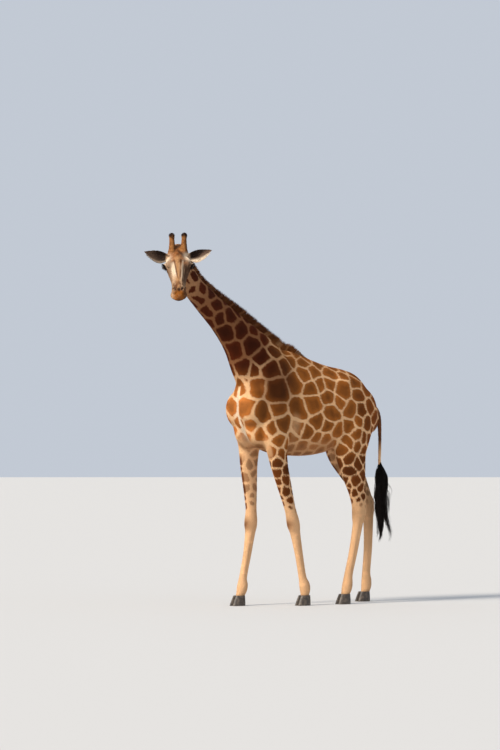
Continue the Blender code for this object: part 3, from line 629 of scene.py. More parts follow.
def muzzle_relief(points, normals):
    """Return how far the head's skin rises or sinks at nostrils, mouth, folds and veins."""
    width, reach, z = np.abs(points[:, 0]), -points[:, 1], points[:, 2]
    outward = np.abs(normals[:, 0])
    lift = np.zeros(len(points))
    for side in (-1, 1):
        along, off = nostril_places(points, side)
        slit = hill((along, 0, 0.022), power=4)
        lift -= 0.021 * hill((off, 0, 0.0078)) * slit
        lift += 0.0045 * hill((off, 0.017, 0.007)) * slit
    above_lips = z - (-0.044 + 0.10 * (0.60 - reach) * (reach < 0.60))
    lips = hill((above_lips, 0, 0.0045)) * ease(reach, 0.515, 0.545)
    lift -= 0.0065 * (lips * (1 - 0.6 * ease(normals[:, 2], 0.4, 0.9)))
    lift += 0.0030 * hill((above_lips, 0.014, 0.010)) * ease(reach, 0.54, 0.60)
    ridge = hill((width, 0.036, 0.010)) * ease(reach, 0.33, 0.38)
    lift += 0.0035 * ridge * (1 - ease(reach, 0.55, 0.60)) * (z > 0.03)
    cheek = hill((z + 0.020 + 0.22 * (reach - 0.34), 0, 0.010))
    lift += 0.0040 * cheek * ease(reach, 0.30, 0.35) * (1 - ease(reach, 0.46, 0.54))
    lift -= 0.0055 * hill((reach, 0.42, 0.07), (z, 0.030, 0.028)) * (outward > 0.5)     # hollow
    lift -= 0.0080 * hill((reach, 0.215, 0.035), (z, 0.070, 0.030)) * (outward > 0.4)   # temple
    lift -= 0.0060 * hill((reach, 0.335, 0.03), (z, -0.085, 0.05)) * (outward > 0.4)    # jaw
    return lift


def near_verts(form, centre, reach):
    """Return the vertices of a bmesh near a point."""
    return [v for v in form.verts if (v.co - centre).length < reach]


def refine(form, centre, reach):
    """Halve the edges of a bmesh near a point."""
    near = set(near_verts(form, centre, reach))
    edges = [edge for edge in form.edges if edge.verts[0] in near and edge.verts[1] in near]
    bmesh.ops.subdivide_edges(form, edges=edges, cuts=1, use_grid_fill=True)


def soften(form, verts, rounds):
    """Smooth some vertices of a bmesh."""
    for _ in range(rounds):
        bmesh.ops.smooth_vert(form, verts=verts, factor=0.5, use_axis_x=True, use_axis_y=True,
                              use_axis_z=True)


def sculpt_head(form):
    """Give the head its lids, nostrils, mouth and folds, then sink it by the coat's depth."""
    for centre, reach, rounds in SOFT_PLACES:
        for place in (centre, mirrored(centre)):
            soften(form, near_verts(form, HEAD @ Vector(place), reach), rounds)
    for side, _ in SIDES:
        for centre, reach in FINE_PLACES:
            refine(form, HEAD @ sided(centre, side), reach)
    points, normals = coordinates(form)
    local = in_head(points)
    turned = normals @ HEAD_BACK[:3, :3].T
    local = local + turned * (muzzle_relief(local, turned) - HEAD_SINK)[:, None]
    for side, _ in SIDES:
        local = sculpt_lids(local, side)
    matrix = np.array(HEAD)
    place_points(form, local @ matrix[:3, :3].T + matrix[:3, 3])


def trim(form, point, normal):
    """Cut a bmesh open at a plane and keep the side the normal points to."""
    bmesh.ops.bisect_plane(form, geom=form.verts[:] + form.edges[:] + form.faces[:],
                           plane_co=point, plane_no=normal, clear_inner=True)


def close_holes(form):
    """Fill every open rim of a bmesh."""
    rims = [edge for edge in form.edges if edge.is_boundary]
    bmesh.ops.triangle_fill(form, edges=rims, use_beauty=True)


def add_form(form, other):
    """Add one bmesh to another and free it."""
    mesh = to_mesh("part", other)
    form.from_mesh(mesh)
    bpy.data.meshes.remove(mesh)


def skin_form():
    """Return the whole skin: the body's mesh bridged to the finer mesh of the head."""
    body = body_form()
    sculpt_body(body)
    trim(body, Vector((0, 0, HOOF_HEIGHT - 0.008)), Vector((0, 0, 1)))
    close_holes(body)
    head = head_form()
    sculpt_head(head)
    line = curve(NECK, 20)
    cut = int(HEAD_CUT * 20)
    point = Vector(line[cut][:3])
    run = (Vector(line[cut + 4][:3]) - point).normalized()
    trim(body, point - run * BODY_GAP, -run)
    trim(head, point + run * HEAD_GAP, run)
    add_form(body, head)
    bmesh.ops.bridge_loops(body, edges=[edge for edge in body.edges if edge.is_boundary])
    seam = [v for v in near_verts(body, point, 0.25) if abs((v.co - point).dot(run)) < 0.05]
    soften(body, seam, 12)
    add_form(body, tail_form())
    bmesh.ops.triangulate(body, faces=body.faces[:])
    bmesh.ops.recalc_face_normals(body, faces=body.faces[:])
    return body


# ---- markings --------------------------------------------------------------------------------
class Places:
    """Where points lie on the animal: shares of each region, each from 0 to 1."""

    def __init__(self, points, normals):
        x, y, z = points.T
        local = in_head(points)
        reach = -local[:, 1]
        self.points, self.normals, self.local = points, normals, local
        self.x, self.y, self.z, self.reach = x, y, z, reach
        self.station = station_on(points, curve(NECK, 10)[:, :3]) / 10
        ahead = ease(reach, -0.02, 0.07)
        above_jaw = ease(local[:, 2] + 0.30 * (reach - 0.10), -0.175, -0.135)
        muzzle = ease(reach, 0.30, 0.34) * (np.abs(local[:, 2]) < 0.22)
        self.head = np.maximum(ahead * above_jaw * (reach < 0.5), muzzle) \
            * (np.abs(local[:, 0]) < 0.42) * (reach < 0.80) * (z > 2.9)
        behind = y - 0.20 * (z - 2.45)
        self.neck = (1 - self.head) * ease(-behind, 0.40, 0.68) * ease(z, 2.2, 2.5)
        self.tail = ease(y, 0.90, 0.95) * ease(z, 1.35, 1.45) * (np.abs(x) < 0.07)
        self.fore = (y < 0.12) & (z < 2.0)
        self.leg = 1 - ease(z, 1.52, 1.74)
        self.under = ease(-normals[:, 2], 0.25, 0.75) * ease(z, 1.35, 1.5) \
            * (1 - ease(z, 1.80, 1.95))
        self.inner = ease(-np.sign(x) * normals[:, 0], 0.05, 0.55) * (1 - ease(z, 1.62, 1.90))
        self.breast = ease(-normals[:, 1], 0.35, 0.80) * ease(z, 1.45, 1.60) \
            * (1 - ease(z, 2.10, 2.32)) * (y < -0.5)
        self.ear = ear_share(points)


def station_on(points, line):
    """Return the fractional index of the place on a line that is nearest to each point."""
    best = np.full(len(points), 1e9)
    place = np.zeros(len(points))
    for index in range(len(line) - 1):
        a, b = line[index], line[index + 1]
        run = b - a
        t = limit((points - a) @ run / run.dot(run))
        far = np.linalg.norm(points - a - t[:, None] * run, axis=1)
        closer = far < best
        best = np.where(closer, far, best)
        place = np.where(closer, index + t, place)
    return place


def ear_share(points):
    """Return how far each point belongs to an ear, from 0 at the root to 1."""
    share = np.zeros(len(points))
    for side, _ in SIDES:
        root, out, _, _ = ear_frame(side)
        away = points - np.array(root)
        along = away @ np.array(out)
        near = np.linalg.norm(away - along[:, None] * np.array(out), axis=1) < EAR_REACH
        share = np.maximum(share, ease(along, 0.012, 0.034) * near)
    return share


def patch_spacing(where):
    """Return the wanted distance between the middles of neighbouring patches."""
    neck = 0.088 + 0.105 * ease(7.0 - where.station, 0.2, 3.4)
    shoulder = hill((where.y, -0.42, 0.26), (where.z, 2.25, 0.28))
    body = 0.158 + 0.095 * shoulder
    body = body - 0.020 * ease(where.y, 0.45, 0.75) - 0.020 * ease(where.z, 2.30, 2.50)
    body = body * (1 - 0.18 * (1 - ease(where.z, 1.70, 2.00)))
    leg = 0.080 + 0.042 * ease(where.z, 1.00, 1.65)
    wanted = body * (1 - where.neck) + neck * where.neck
    wanted = wanted * (1 - where.leg) + leg * where.leg
    return wanted * (1 - where.head) + 0.070 * where.head


BLOCK = 8000                      # points worked on at a time
PATCH_TRIES = 26000
PATCHES_AT_MOST = 4000
PATCH_CORNER = 0.006              # how far the patches' corners are rounded
PATCH_STRAY = 0.022               # how far a patch strays from its twin's place
# Patches with a place of their own, left side: middle and room
KEY_PATCHES = (
    # neck, from the head down: a long one behind the cheek, small ones under the jaw
    (0.268, -1.545, 3.358, 0.165), (0.262, -1.612, 3.285, 0.078), (0.225, -1.556, 3.205, 0.088),
    (0.214, -1.416, 3.222, 0.112), (0.164, -1.288, 3.182, 0.125), (0.178, -1.466, 3.085, 0.155),
    (0.174, -1.238, 3.078, 0.128), (0.154, -1.338, 2.995, 0.138), (0.143, -1.036, 2.980, 0.132),
    (0.152, -1.182, 2.913, 0.092),
    # lower neck, a row along the crest and a row in front of it
    (0.146, -0.890, 2.835, 0.142), (0.105, -0.730, 2.830, 0.088), (0.155, -0.765, 2.672, 0.150),
    (0.105, -0.590, 2.750, 0.125), (0.175, -0.675, 2.555, 0.155), (0.170, -0.766, 2.402, 0.085),
    (0.150, -0.494, 2.616, 0.130), (0.125, -0.875, 2.290, 0.100), (0.170, -0.316, 2.564, 0.112),
    (0.105, -0.800, 2.020, 0.190),     # breast
    (0.270, -0.550, 2.215, 0.285),     # shoulder
    (0.230, -0.590, 2.420, 0.205),     # above the shoulder
    (0.180, -0.730, 2.255, 0.180),     # base of the neck
    (0.225, -0.700, 1.970, 0.190),     # upper arm
    (0.275, -0.550, 2.015, 0.135),     # below the shoulder
    (0.270, -0.480, 1.860, 0.165),     # elbow
    (0.310, -0.120, 2.080, 0.170),     # ribs
    (0.265, 0.370, 2.010, 0.180),      # thigh
    (0.118, -1.100, 2.785, 0.170),     # middle of the neck
    (0.120, -0.985, 2.595, 0.185),     # lower neck
    (0.150, -0.885, 2.420, 0.175),     # throat's base
)


def scatter_patches(where, rng):
    """Choose the middles of the patches by trying random places and keeping those apart."""
    wanted = patch_spacing(where)
    order = rng.permutation(len(where.points))[:PATCH_TRIES]
    spots, sizes = [], []
    bend = [(-row[1], row[0]) for row in NECK]
    for *spot, size in KEY_PATCHES:
        stray = rng.normal(0, PATCH_STRAY, 3) if abs(spot[0]) > 0.11 else np.zeros(3)
        middle = np.interp(-spot[1], *zip(*bend))
        spots += [np.array(spot), np.array((2 * middle - spot[0], *spot[1:])) + stray]
        sizes += [size, size * rng.uniform(0.80, 1.0)]
    kept = np.zeros((PATCHES_AT_MOST, 3))
    room = np.zeros(PATCHES_AT_MOST)
    count = len(spots)
    kept[:count], room[:count] = spots, sizes
    for index in order:
        point = where.points[index]
        space = wanted[index] * rng.uniform(0.60, 1.16)
        far = np.linalg.norm(kept[:count] - point, axis=1)
        if np.all(far > 0.5 * (room[:count] + space)):
            kept[count], room[count] = point, space
            count += 1
    return kept[:count], room[:count]


def patch_edges(points, middles, room):
    """Return each point's depth inside its patch and the number of that patch."""
    moved = points + wander(points, 0.11, 0.020) + wander(points, 0.035, 0.0045)
    weight = (0.42 * room) ** 2
    edges = np.zeros(len(points))
    owner = np.zeros(len(points), dtype=int)
    for start in range(0, len(points), BLOCK):
        rows = slice(start, start + BLOCK)
        block = moved[rows]
        power = (np.sum(block ** 2, axis=1)[:, None] + np.sum(middles ** 2, axis=1)
                 - 2 * block @ middles.T - weight)
        close = np.argpartition(power, 7, axis=1)[:, :8]
        near = np.take_along_axis(power, close, axis=1)
        sort = np.argsort(near, axis=1)
        close = np.take_along_axis(close, sort, axis=1)
        near = np.take_along_axis(near, sort, axis=1)
        first = close[:, 0]
        gap = np.linalg.norm(middles[close[:, 1:]] - middles[first][:, None], axis=2)
        border = (near[:, 1:] - near[:, :1]) / (2 * gap)
        edges[rows] = -PATCH_CORNER * np.log(
            np.sum(np.exp(-np.minimum(border, 0.4) / PATCH_CORNER), axis=1))
        owner[rows] = first
    return edges, owner


def line_width(where):
    """Return half the width of the pale lines between patches."""
    body = 0.0092 + 0.004 * ease(-where.y, 0.2, 0.6)
    neck = 0.0135 + 0.0065 * ease(where.station, 3.4, 5.2)
    leg = 0.0068 + 0.0040 * (1 - ease(where.z, 0.95, 1.30))
    half = body * (1 - where.neck) + neck * where.neck
    half = half * (1 - where.leg) + leg * where.leg
    return half + 0.003 * where.breast


def patch_strength(where):
    """Return how strongly the patches show, from 0 to 1."""
    low = np.where(where.fore, ease(where.z, 0.93, 1.05), ease(where.z, 0.95, 1.12))
    strong = low * (1 - 0.50 * where.inner) * (1 - 0.42 * where.under)
    strong = strong * (1 - blob(where.local, (0.0, 0.020, 0.030), 0.085))     # poll
    elbow = hill((where.y, -0.31, 0.075), (where.z, 1.86, 0.15))
    strong = strong * (1 - 0.60 * elbow * (np.abs(where.normals[:, 0]) > 0.4))
    armpit = where.breast * (1 - ease(where.z, 1.62, 1.82))
    strong = strong * (1 - 0.75 * armpit)
    return strong * (1 - where.head) * (1 - where.tail) * (1 - where.ear)


def mix(first, second, share):
    """Blend two colours, or arrays of colours, by a share for each point."""
    return first * (1 - share[:, None]) + second * share[:, None]


def layered(ground, *layers):
    """Paint colours over a ground, one after another; a layer is a colour and its share."""
    for colour_over, share in layers:
        ground = mix(ground, colour_over, share)
    return ground


class Face:
    """Where points lie on the head, in its own frame, with the noise its markings share."""

    def __init__(self, local):
        self.local = local
        self.x, self.reach, self.z = local[:, 0], -local[:, 1], local[:, 2]
        self.hair = grain(local, 38.0)
        self.streak = grain(local * (75, 13, 26), 1.0)
        self.blotch = grain(local, 16.0, (3, 7, 1))


def side_layers(on, tones):
    """Return the layers of the face's sides: greyish cheeks, painted shade on the left cheek and
    left side of the nose, paler jaw.
    """
    x, reach, z = on.x, on.reach, on.z
    side = ease(np.abs(x), 0.050, 0.075) * ease(reach, 0.26, 0.33) \
        * (1 - ease(reach, 0.50, 0.58)) * ease(z, -0.075, -0.03)
    # painted shade: the cheek's grey is painted stronger on the face's left side, which is turned
    # from the light
    shaded = 0.55 + 0.45 * ease(x, -0.02, 0.03)
    # painted shade: the left side of the nose is painted a darker grey-brown
    shaded_nose_side = ease(x, 0.022, 0.038) * ease(reach, 0.24, 0.30) * (1 - ease(reach, 0.49, 0.55))
    cheek = ease(-(z + 0.10 * (reach - 0.3)), -0.055, 0.010) * ease(reach, 0.10, 0.22)
    return ((tones["cheek"], side * shaded * limit(0.95 + 0.8 * on.streak)),
            (tones["cheek"] * 0.70, shaded_nose_side * limit(0.84 + 0.6 * on.streak)),
            (tones["cheek"], cheek * 0.50 * limit(1 + 0.5 * on.hair)),
            (tones["pale"], ease(-z, 0.060, 0.105) * 0.45))


def forehead_layers(on, tones):
    """Return the layers of the tan forehead with its dapples, thicker and darker on the left side
    partly as painted shade, and the dark spot at its crown.
    """
    # partly painted shade: the dapples grow thicker and darker towards the left side, which is
    # turned from the light
    away_from_light = ease(on.x, -0.03, 0.03)
    top = limit(ease(on.z, 0.045, 0.085) * (1 - ease(on.reach, 0.285, 0.345))
                + ease(0.16 - on.reach, 0, 0.06))
    dapple = ease(on.blotch + 0.16 * away_from_light, 0.0, 0.20) * top * ease(on.reach, 0.08, 0.14)
    crown = blob(on.local, (0.030, -0.150, 0.125), (0.042, 0.085, 0.050))
    return ((tones["forehead"], top * limit(0.92 + 0.35 * on.hair)),
            (tones["smudge"] * 0.45, dapple * (0.60 + 0.30 * away_from_light)),
            (tones["smudge"] * 0.5, limit(crown * (0.75 + 0.9 * on.blotch))))


def nose_layers(on, tones):
    """Return the layers of the nose: a tan strip between pale and dark lines, pale brows; the pale
    line is wide and bright on the right side, partly a painted highlight, and thin on the left.
    """
    x, reach = on.x, on.reach
    upper = ease(on.z, 0.005, 0.035)
    slope = 0.17 * (reach - 0.30)
    along_nose = ease(reach, 0.265, 0.305) * (1 - ease(reach, 0.46, 0.51))
    strip = hill((x, -0.006, 0.021 + 0.012 * (1 - ease(reach, 0.26, 0.34))), power=4)
    # partly painted highlight: a wide bright pale line on the nose's right side, which faces the
    # light; only a thin one on the left
    lit_pale_strip = np.exp(-np.abs((x + 0.060 - slope) / 0.022) ** 3) * upper
    lit_pale_strip = lit_pale_strip * ease(reach, 0.285, 0.340) * (1 - ease(reach, 0.41, 0.49))
    thin = hill((x - 0.047 + 0.5 * slope, 0, 0.0075)) * upper * along_nose
    layers = [(tones["nose"],
               strip * upper * ease(reach, 0.22, 0.28) * limit(0.95 + 0.5 * on.streak)),
              (tones["pale"], limit(lit_pale_strip * (0.92 + 0.8 * on.streak))),
              (tones["pale"], thin * 0.50)]
    for middle, strength in ((-0.036 + slope, 0.95), (0.025 - 0.3 * slope, 1.10)):
        line = hill((x, middle, 0.0062)) * upper * along_nose
        layers.append((tones["smudge"] * 0.8, limit(line * strength * (1.0 + 0.9 * on.streak))))
    for centre in ((-0.132, -0.245, 0.086), (0.121, -0.228, 0.090)):
        brow = blob(on.local, centre, (0.050, 0.052, 0.050))
        layers.append((tones["pale"], limit(brow * 2.0) * 0.95))
    return layers


def muzzle_layers(on, tones):
    """Return the layers of the nose's flecked bridge, the brown muzzle with a painted highlight
    and painted shade on its sides, and painted shade along the lips and under the chin.
    """
    x, reach, z = on.x, on.reach, on.z
    bridge = ease(reach, 0.49, 0.55) * ease(z, 0.0, 0.03)
    muzzle = ease(reach, 0.575, 0.612) * ease(0.052 - z, 0.0, 0.020)
    centre = blob(on.local, (0.006, -0.690, -0.016), (0.027, 0.05, 0.025))
    # painted highlight on the muzzle's right side, which faces the light, and painted shade on its
    # left side
    ball = layered(tones["muzzle"], (tones["smudge"], centre * 0.95),
                   (tones["face"], ease(-x, 0.030, 0.066) * 0.80),
                   (tones["smudge"] * 0.7, ease(x, 0.026, 0.060) * 0.85))
    philtrum = blob(on.local, (0.005, -0.612, 0.046), (0.013, 0.022, 0.020))
    # painted shadow under the chin and painted shade along the line of the mouth
    chin_shadow = ease(-z, 0.040, 0.066) * ease(reach, 0.52, 0.58)
    lip_shadow = hill((z, -0.044, 0.008)) * ease(reach, 0.53, 0.60)
    return ((tones["cheek"], bridge * (0.35 + 0.9 * on.hair).clip(0, 0.75)),
            (tones["smudge"], bridge * ease(on.streak + 0.5 * on.hair, 0.10, 0.35) * 0.75),
            (ball, muzzle * limit(0.95 + 0.2 * on.hair)),
            (tones["dark"], (philtrum * 1.5).clip(0, 0.95)),
            (tones["smudge"] * 0.8, chin_shadow * 0.90),
            (tones["dark"], lip_shadow * 0.65))


def opening_layers(on, side, tones):
    """Return the layers round one nostril and one eye: dark rims in greyish brown rings; the
    nostril's slit is painted dark, partly as painted shade.
    """
    along, off = nostril_places(on.local, side)
    # partly painted shade: the slit is painted near black, fully on the left side and weaker on
    # the right side, which faces the light
    dark_and_shaded_slit = hill((off, 0, 0.0100)) * hill((along, 0, 0.024), power=4)
    halo = hill((off, 0, 0.024)) * hill((along, 0, 0.034), power=4)
    ahead, up, far, faces_out = eye_angles(on.local, side)
    lid = faces_out * (1 - ease(far, 0.040, 0.050))
    edge = 1 - ease(np.abs(up) - LID_HALF_HEIGHT * lid_shape(ahead), 0.28, 0.62)
    corner = hill((ahead, 1.22, 0.36), (up, -0.14, 0.30)) * faces_out
    ring = faces_out * (1 - ease(far, 0.046, 0.070)) * 0.60
    return ((tones["cheek"], halo * 0.55),
            (tones["dark"], limit(dark_and_shaded_slit * 1.9) * (1.0 if side > 0 else 0.75)),
            (tones["dark"], lid * edge * (np.abs(ahead) < LID_HALF_WIDTH + 0.30)),
            (tones["dark"], limit(corner * 1.3) * (far < 0.055)),
            (tones["cheek"], ring * (up < 0.45)))


def face_colours(where, ground, tones):
    """Return the ground with the head's colours and those of the horns' feet."""
    on = Face(where.local)
    face = layered(tones["face"], *side_layers(on, tones), *forehead_layers(on, tones),
                   *nose_layers(on, tones), *muzzle_layers(on, tones),
                   *opening_layers(on, -1, tones), *opening_layers(on, 1, tones))
    return layered(ground, (face, where.head),
                   (horn_colours(where.points, tones), horn_share(where.points)))


def horn_share(points):
    """Return how far each point belongs to the foot of a horn, from 0 to 1."""
    share = np.zeros(len(points))
    for side, _ in SIDES:
        base, rise = (np.array(v) for v in horn_axis(side))
        high = (points - base) @ rise
        off = np.linalg.norm(points - base - high[:, None] * rise, axis=1)
        share = np.maximum(share, ease(0.066 - off, 0.0, 0.026) * ease(high, -0.030, 0.012))
    return share


def horn_colours(points, tones):
    """Return the colours of the horns' hair and of the skin at their feet, with painted shade on
    each horn's left side.
    """
    colours = np.zeros((len(points), 3))
    blotch = grain(points, 45)
    local = in_head(points)
    for side, _ in SIDES:
        base, rise = (np.array(v) for v in horn_axis(side))
        along = (points - base) @ rise / HORN_LENGTH
        # painted shade: each horn is painted darker on its left side, which is turned from the
        # light
        shade = ease(local[:, 0] - side * HORN_BASE.x, 0.006, 0.026)
        horn = layered(tones["horn"], (tones["smudge"], ease(blotch, 0.0, 0.35) * 0.60),
                       (tones["smudge"] * 0.7, shade * 0.75),
                       (tones["knob"], ease(along + 0.10 * blotch, 0.70, 0.90)))
        colours = np.where((local[:, 0] * side > 0)[:, None], horn, colours)
    return colours


def ear_colours(where, ground, tones):
    """Return the ground with the ears' colours: dark hollow, partly painted shade, pale back
    dimmed on the right ear as painted shade, edges and tip.
    """
    for side, _ in SIDES:
        root, out, up, front = (np.array(v) for v in ear_frame(side))
        away = where.points - root
        along = away @ out / EAR_LENGTH
        off = np.linalg.norm(away - (away @ out)[:, None] * out, axis=1)
        near = (off < EAR_REACH) & (along > 0)
        width = EAR_WIDTH / 2 * np.interp(along, *zip(*EAR_FORM))
        middle = EAR_RISE * limit(along) ** 1.5
        place = (away @ up - middle) / np.maximum(width, 0.01)
        # partly painted shade: the cup is painted dark, deepest near the root; on the left ear it
        # keeps to the upper edge towards the tip
        low = -0.75 + 1.0 * ease(along, 0.35, 0.85) if side > 0 else -1.25
        dark_and_shaded_hollow = ease(where.normals @ front, 0.0, 0.5) * ease(place, low, low + 0.55)
        # painted shade: the right ear's pale lower rim is painted dimmer
        back = mix(tones["ear"], tones["pale"],
                   ease(-place, 0.35, 0.95) * (1.0 if side > 0 else 0.25))
        inside = mix(tones["dark"], tones["ear"] * 0.30,
                     ease(along + 0.25 * limit(-place), 0.42, 0.75))
        ear = layered(back, (inside, dark_and_shaded_hollow * 0.92),
                      (tones["cheek"], ease(along, 0.86, 0.98) * 0.5))
        ground = np.where(near[:, None], mix(ground, ear, where.ear), ground)
    return ground


def ground_colours(where, shoulder, soft, tones):
    """Return the colour between the patches of trunk, neck and legs."""
    shaded = where.neck * ease(where.station, 0.2, 1.6) \
        * (1 - 0.20 * ease(where.station, 4.0, 5.6))
    # partly painted shadow: the lines over the shoulder take the neck's darker colour, where the
    # neck's shadow falls
    shaded = np.maximum(shaded, (shoulder * 1.2).clip(0, 0.85) * (1 - where.breast))
    chest_front = where.breast * hill((where.x, 0, 0.05)) * ease(where.z, 1.55, 1.75)
    ground = layered(
        tones["line"],
        (tones["neck_line"], shaded),
        (tones["back_line"], ease(where.z, 2.35, 2.60) * (1 - where.neck)),
        (tones["leg"], 1 - ease(where.z, 1.05, 1.60)),
        (tones["belly"], limit(where.under * 0.8)),
        (tones["leg"], where.inner * 0.6),
        (tones["pale"], chest_front))
    ground = ground * (1 + 0.10 * soft[:, None])
    for joints, strength in ((FORE_JOINTS, 0.90), (HIND_JOINTS, 0.40)):
        for line in joints.values():
            knee = np.array(line[2]) + (0, -0.06, -0.01)
            spot = blob(where.points, knee, (0.06, 0.045, 0.065))
            ground = mix(ground, tones["smudge"], spot * strength)
    fetlocks = hill((where.z, 0.20, 0.06)) * ease(where.normals[:, 1], 0.2, 0.9)
    return layered(
        ground,
        (tones["smudge"], fetlocks * 0.45),
        (tones["cheek"], (1 - ease(where.z, 0.10, 0.135)) * 0.5),     # above the hooves
        (tones["tail"], where.tail * (1 - where.leg)))


def patch_colours(where, shoulder, tone, tones):
    """Return the colour of the patches; tone holds how much lighter each point's own is."""
    patch = layered(
        tones["flank"],
        (tones["haunch"], ease(where.y, 0.38, 0.58) * (1 - ease(where.z, 2.05, 2.40))),
        # partly painted shadow: the shoulder's patches are darker where the neck's shadow falls
        (tones["shoulder"], limit(shoulder * 1.35)),
        (tones["neck"], where.neck),
        (tones["breast"], limit(where.breast * (1 - where.neck))),
        (tones["belly_patch"], limit(where.under)),
        (tones["leg_patch"], 1 - ease(where.z, 1.45, 1.70)))
    return patch * (1 + tone[:, None])


def paint(where, middles, room, rng, tones):
    """Return patch depth, ground colour and patch colour for every point."""
    edges, owner = patch_edges(where.points, middles, room)
    strip = np.abs(where.x - 0.01) - 0.010
    front = (where.breast > 0.2) & (where.z > 1.60) & (where.z < 2.34)
    edges = np.where(front, np.minimum(edges, strip), edges)
    tone = rng.uniform(-1.0, 1.0, len(middles))[owner]
    soft = grain(where.points, 5.0)
    # where the shoulder's lines and patches are darkened, partly as painted shadow of the neck
    shoulder = hill((where.y, -0.52, 0.20), (where.z, 2.32, 0.32))
    ground = ground_colours(where, shoulder, soft, tones)
    ground = ear_colours(where, face_colours(where, ground, tones), tones)
    patch = patch_colours(where, shoulder, 0.20 * tone + 0.10 * soft, tones)
    strong = patch_strength(where)
    patch = mix(ground, patch, limit(strong * 1.25))
    return edges - line_width(where) - 0.016 * (1 - strong), ground, limit(patch)


def hair_lie(where):
    """Return the direction in which the coat lies at every point."""
    points = where.points
    line = curve(NECK, 10)[:, :3]
    index = np.clip(where.station * 10, 1, len(line) - 2).astype(int)
    down_neck = unit(line[index - 1] - line[index + 1])
    low = ease(-where.local[:, 2], -0.02, 0.06) * (1 - ease(where.reach, 0.50, 0.58))
    face = layered(from_head((0, -1.0, -0.10)),                               # to the nose
                   (from_head((0, 1.0, 0.25)), 1 - ease(where.reach, 0.24, 0.31)),  # to the poll
                   (from_head((0, 0.55, -0.85)), low))                        # to the jaw
    lie = layered(np.array([0.0, 1.0, -0.35]),
                  (down_neck, where.neck), (np.array([0.0, 0.15, -1.0]), where.leg),
                  (np.array([0.0, 0.05, -1.0]), where.tail), (face, where.head))
    near_horn = horn_share(points)
    for side, _ in SIDES:
        rise = np.array(horn_axis(side)[1])
        lie = np.where((where.local[:, 0] * side > 0)[:, None], mix(lie, rise, near_horn), lie)
    for side, _ in SIDES:
        root, out, _, _ = (np.array(v) for v in ear_frame(side))
        on_ear = ((points - root) @ out > 0) & (where.ear > 0.02)
        lie = np.where(on_ear[:, None], mix(lie, out, where.ear), lie)
    return tangent(unit(lie) + wander(points, 0.16, 0.35), where.normals)


# ---- materials -------------------------------------------------------------------------------
# what is painted on the points: colour of the ground, of the patch, depth inside the patch,
# shade of a lock, share of the way to its tip, lie of the coat
ATTRIBUTES = {"ground": "FLOAT_COLOR", "patch": "FLOAT_COLOR", "depth": "FLOAT",
              "shade": "FLOAT", "along": "FLOAT", "lie": "FLOAT_VECTOR"}
MARKINGS = ("ground", "patch", "depth")
FIELDS = {"FLOAT": ("value", 1), "FLOAT_VECTOR": ("vector", 3), "FLOAT_COLOR": ("color", 4)}


def feed(tree, target, inputs):
    """Set a node's inputs: each is a plain value or the output of another node."""
    for key, value in inputs.items():
        if isinstance(value, bpy.types.NodeSocket):
            tree.links.new(value, target.inputs[key])
        else:
            target.inputs[key].default_value = value


def node(tree, kind, inputs=None, **properties):
    """Add a shader node with its properties and inputs set."""
    made = tree.nodes.new("ShaderNode" + kind)
    for key, value in properties.items():
        setattr(made, key, value)
    feed(tree, made, inputs or {})
    return made


def new_material(name, looks):
    """Return a new material, its node tree and its shader with the given inputs."""
    made = bpy.data.materials.new(name)
    made.use_nodes = True
    shader = made.node_tree.nodes["Principled BSDF"]
    feed(made.node_tree, shader, looks)
    return made, made.node_tree, shader


def object_place(tree):
    """Add the coordinates of the object's own frame and return their output."""
    return node(tree, "TexCoord").outputs["Object"]


def attribute_outputs(tree, *names):
    """Return the outputs of painted attributes by name."""
    return {name: node(tree, "Attribute", attribute_name=name).outputs[
        "Color" if ATTRIBUTES[name] == "FLOAT_COLOR" else "Fac"] for name in names}


def scaled(tree, colour_in, factor):
    """Return the output of a colour multiplied by a factor."""
    made = node(tree, "VectorMath", {0: colour_in, "Scale": factor}, operation="SCALE")
    return made.outputs[0]


GROUP_SOCKETS = (
    ("Ground", "INPUT", "Color"), ("Patch", "INPUT", "Color"), ("Depth", "INPUT", "Float"),
    ("Shade", "INPUT", "Float"), ("Place", "INPUT", "Vector"), ("Grain", "INPUT", "Float"),
    ("Color", "OUTPUT", "Color"), ("Hair", "OUTPUT", "Float"),
)


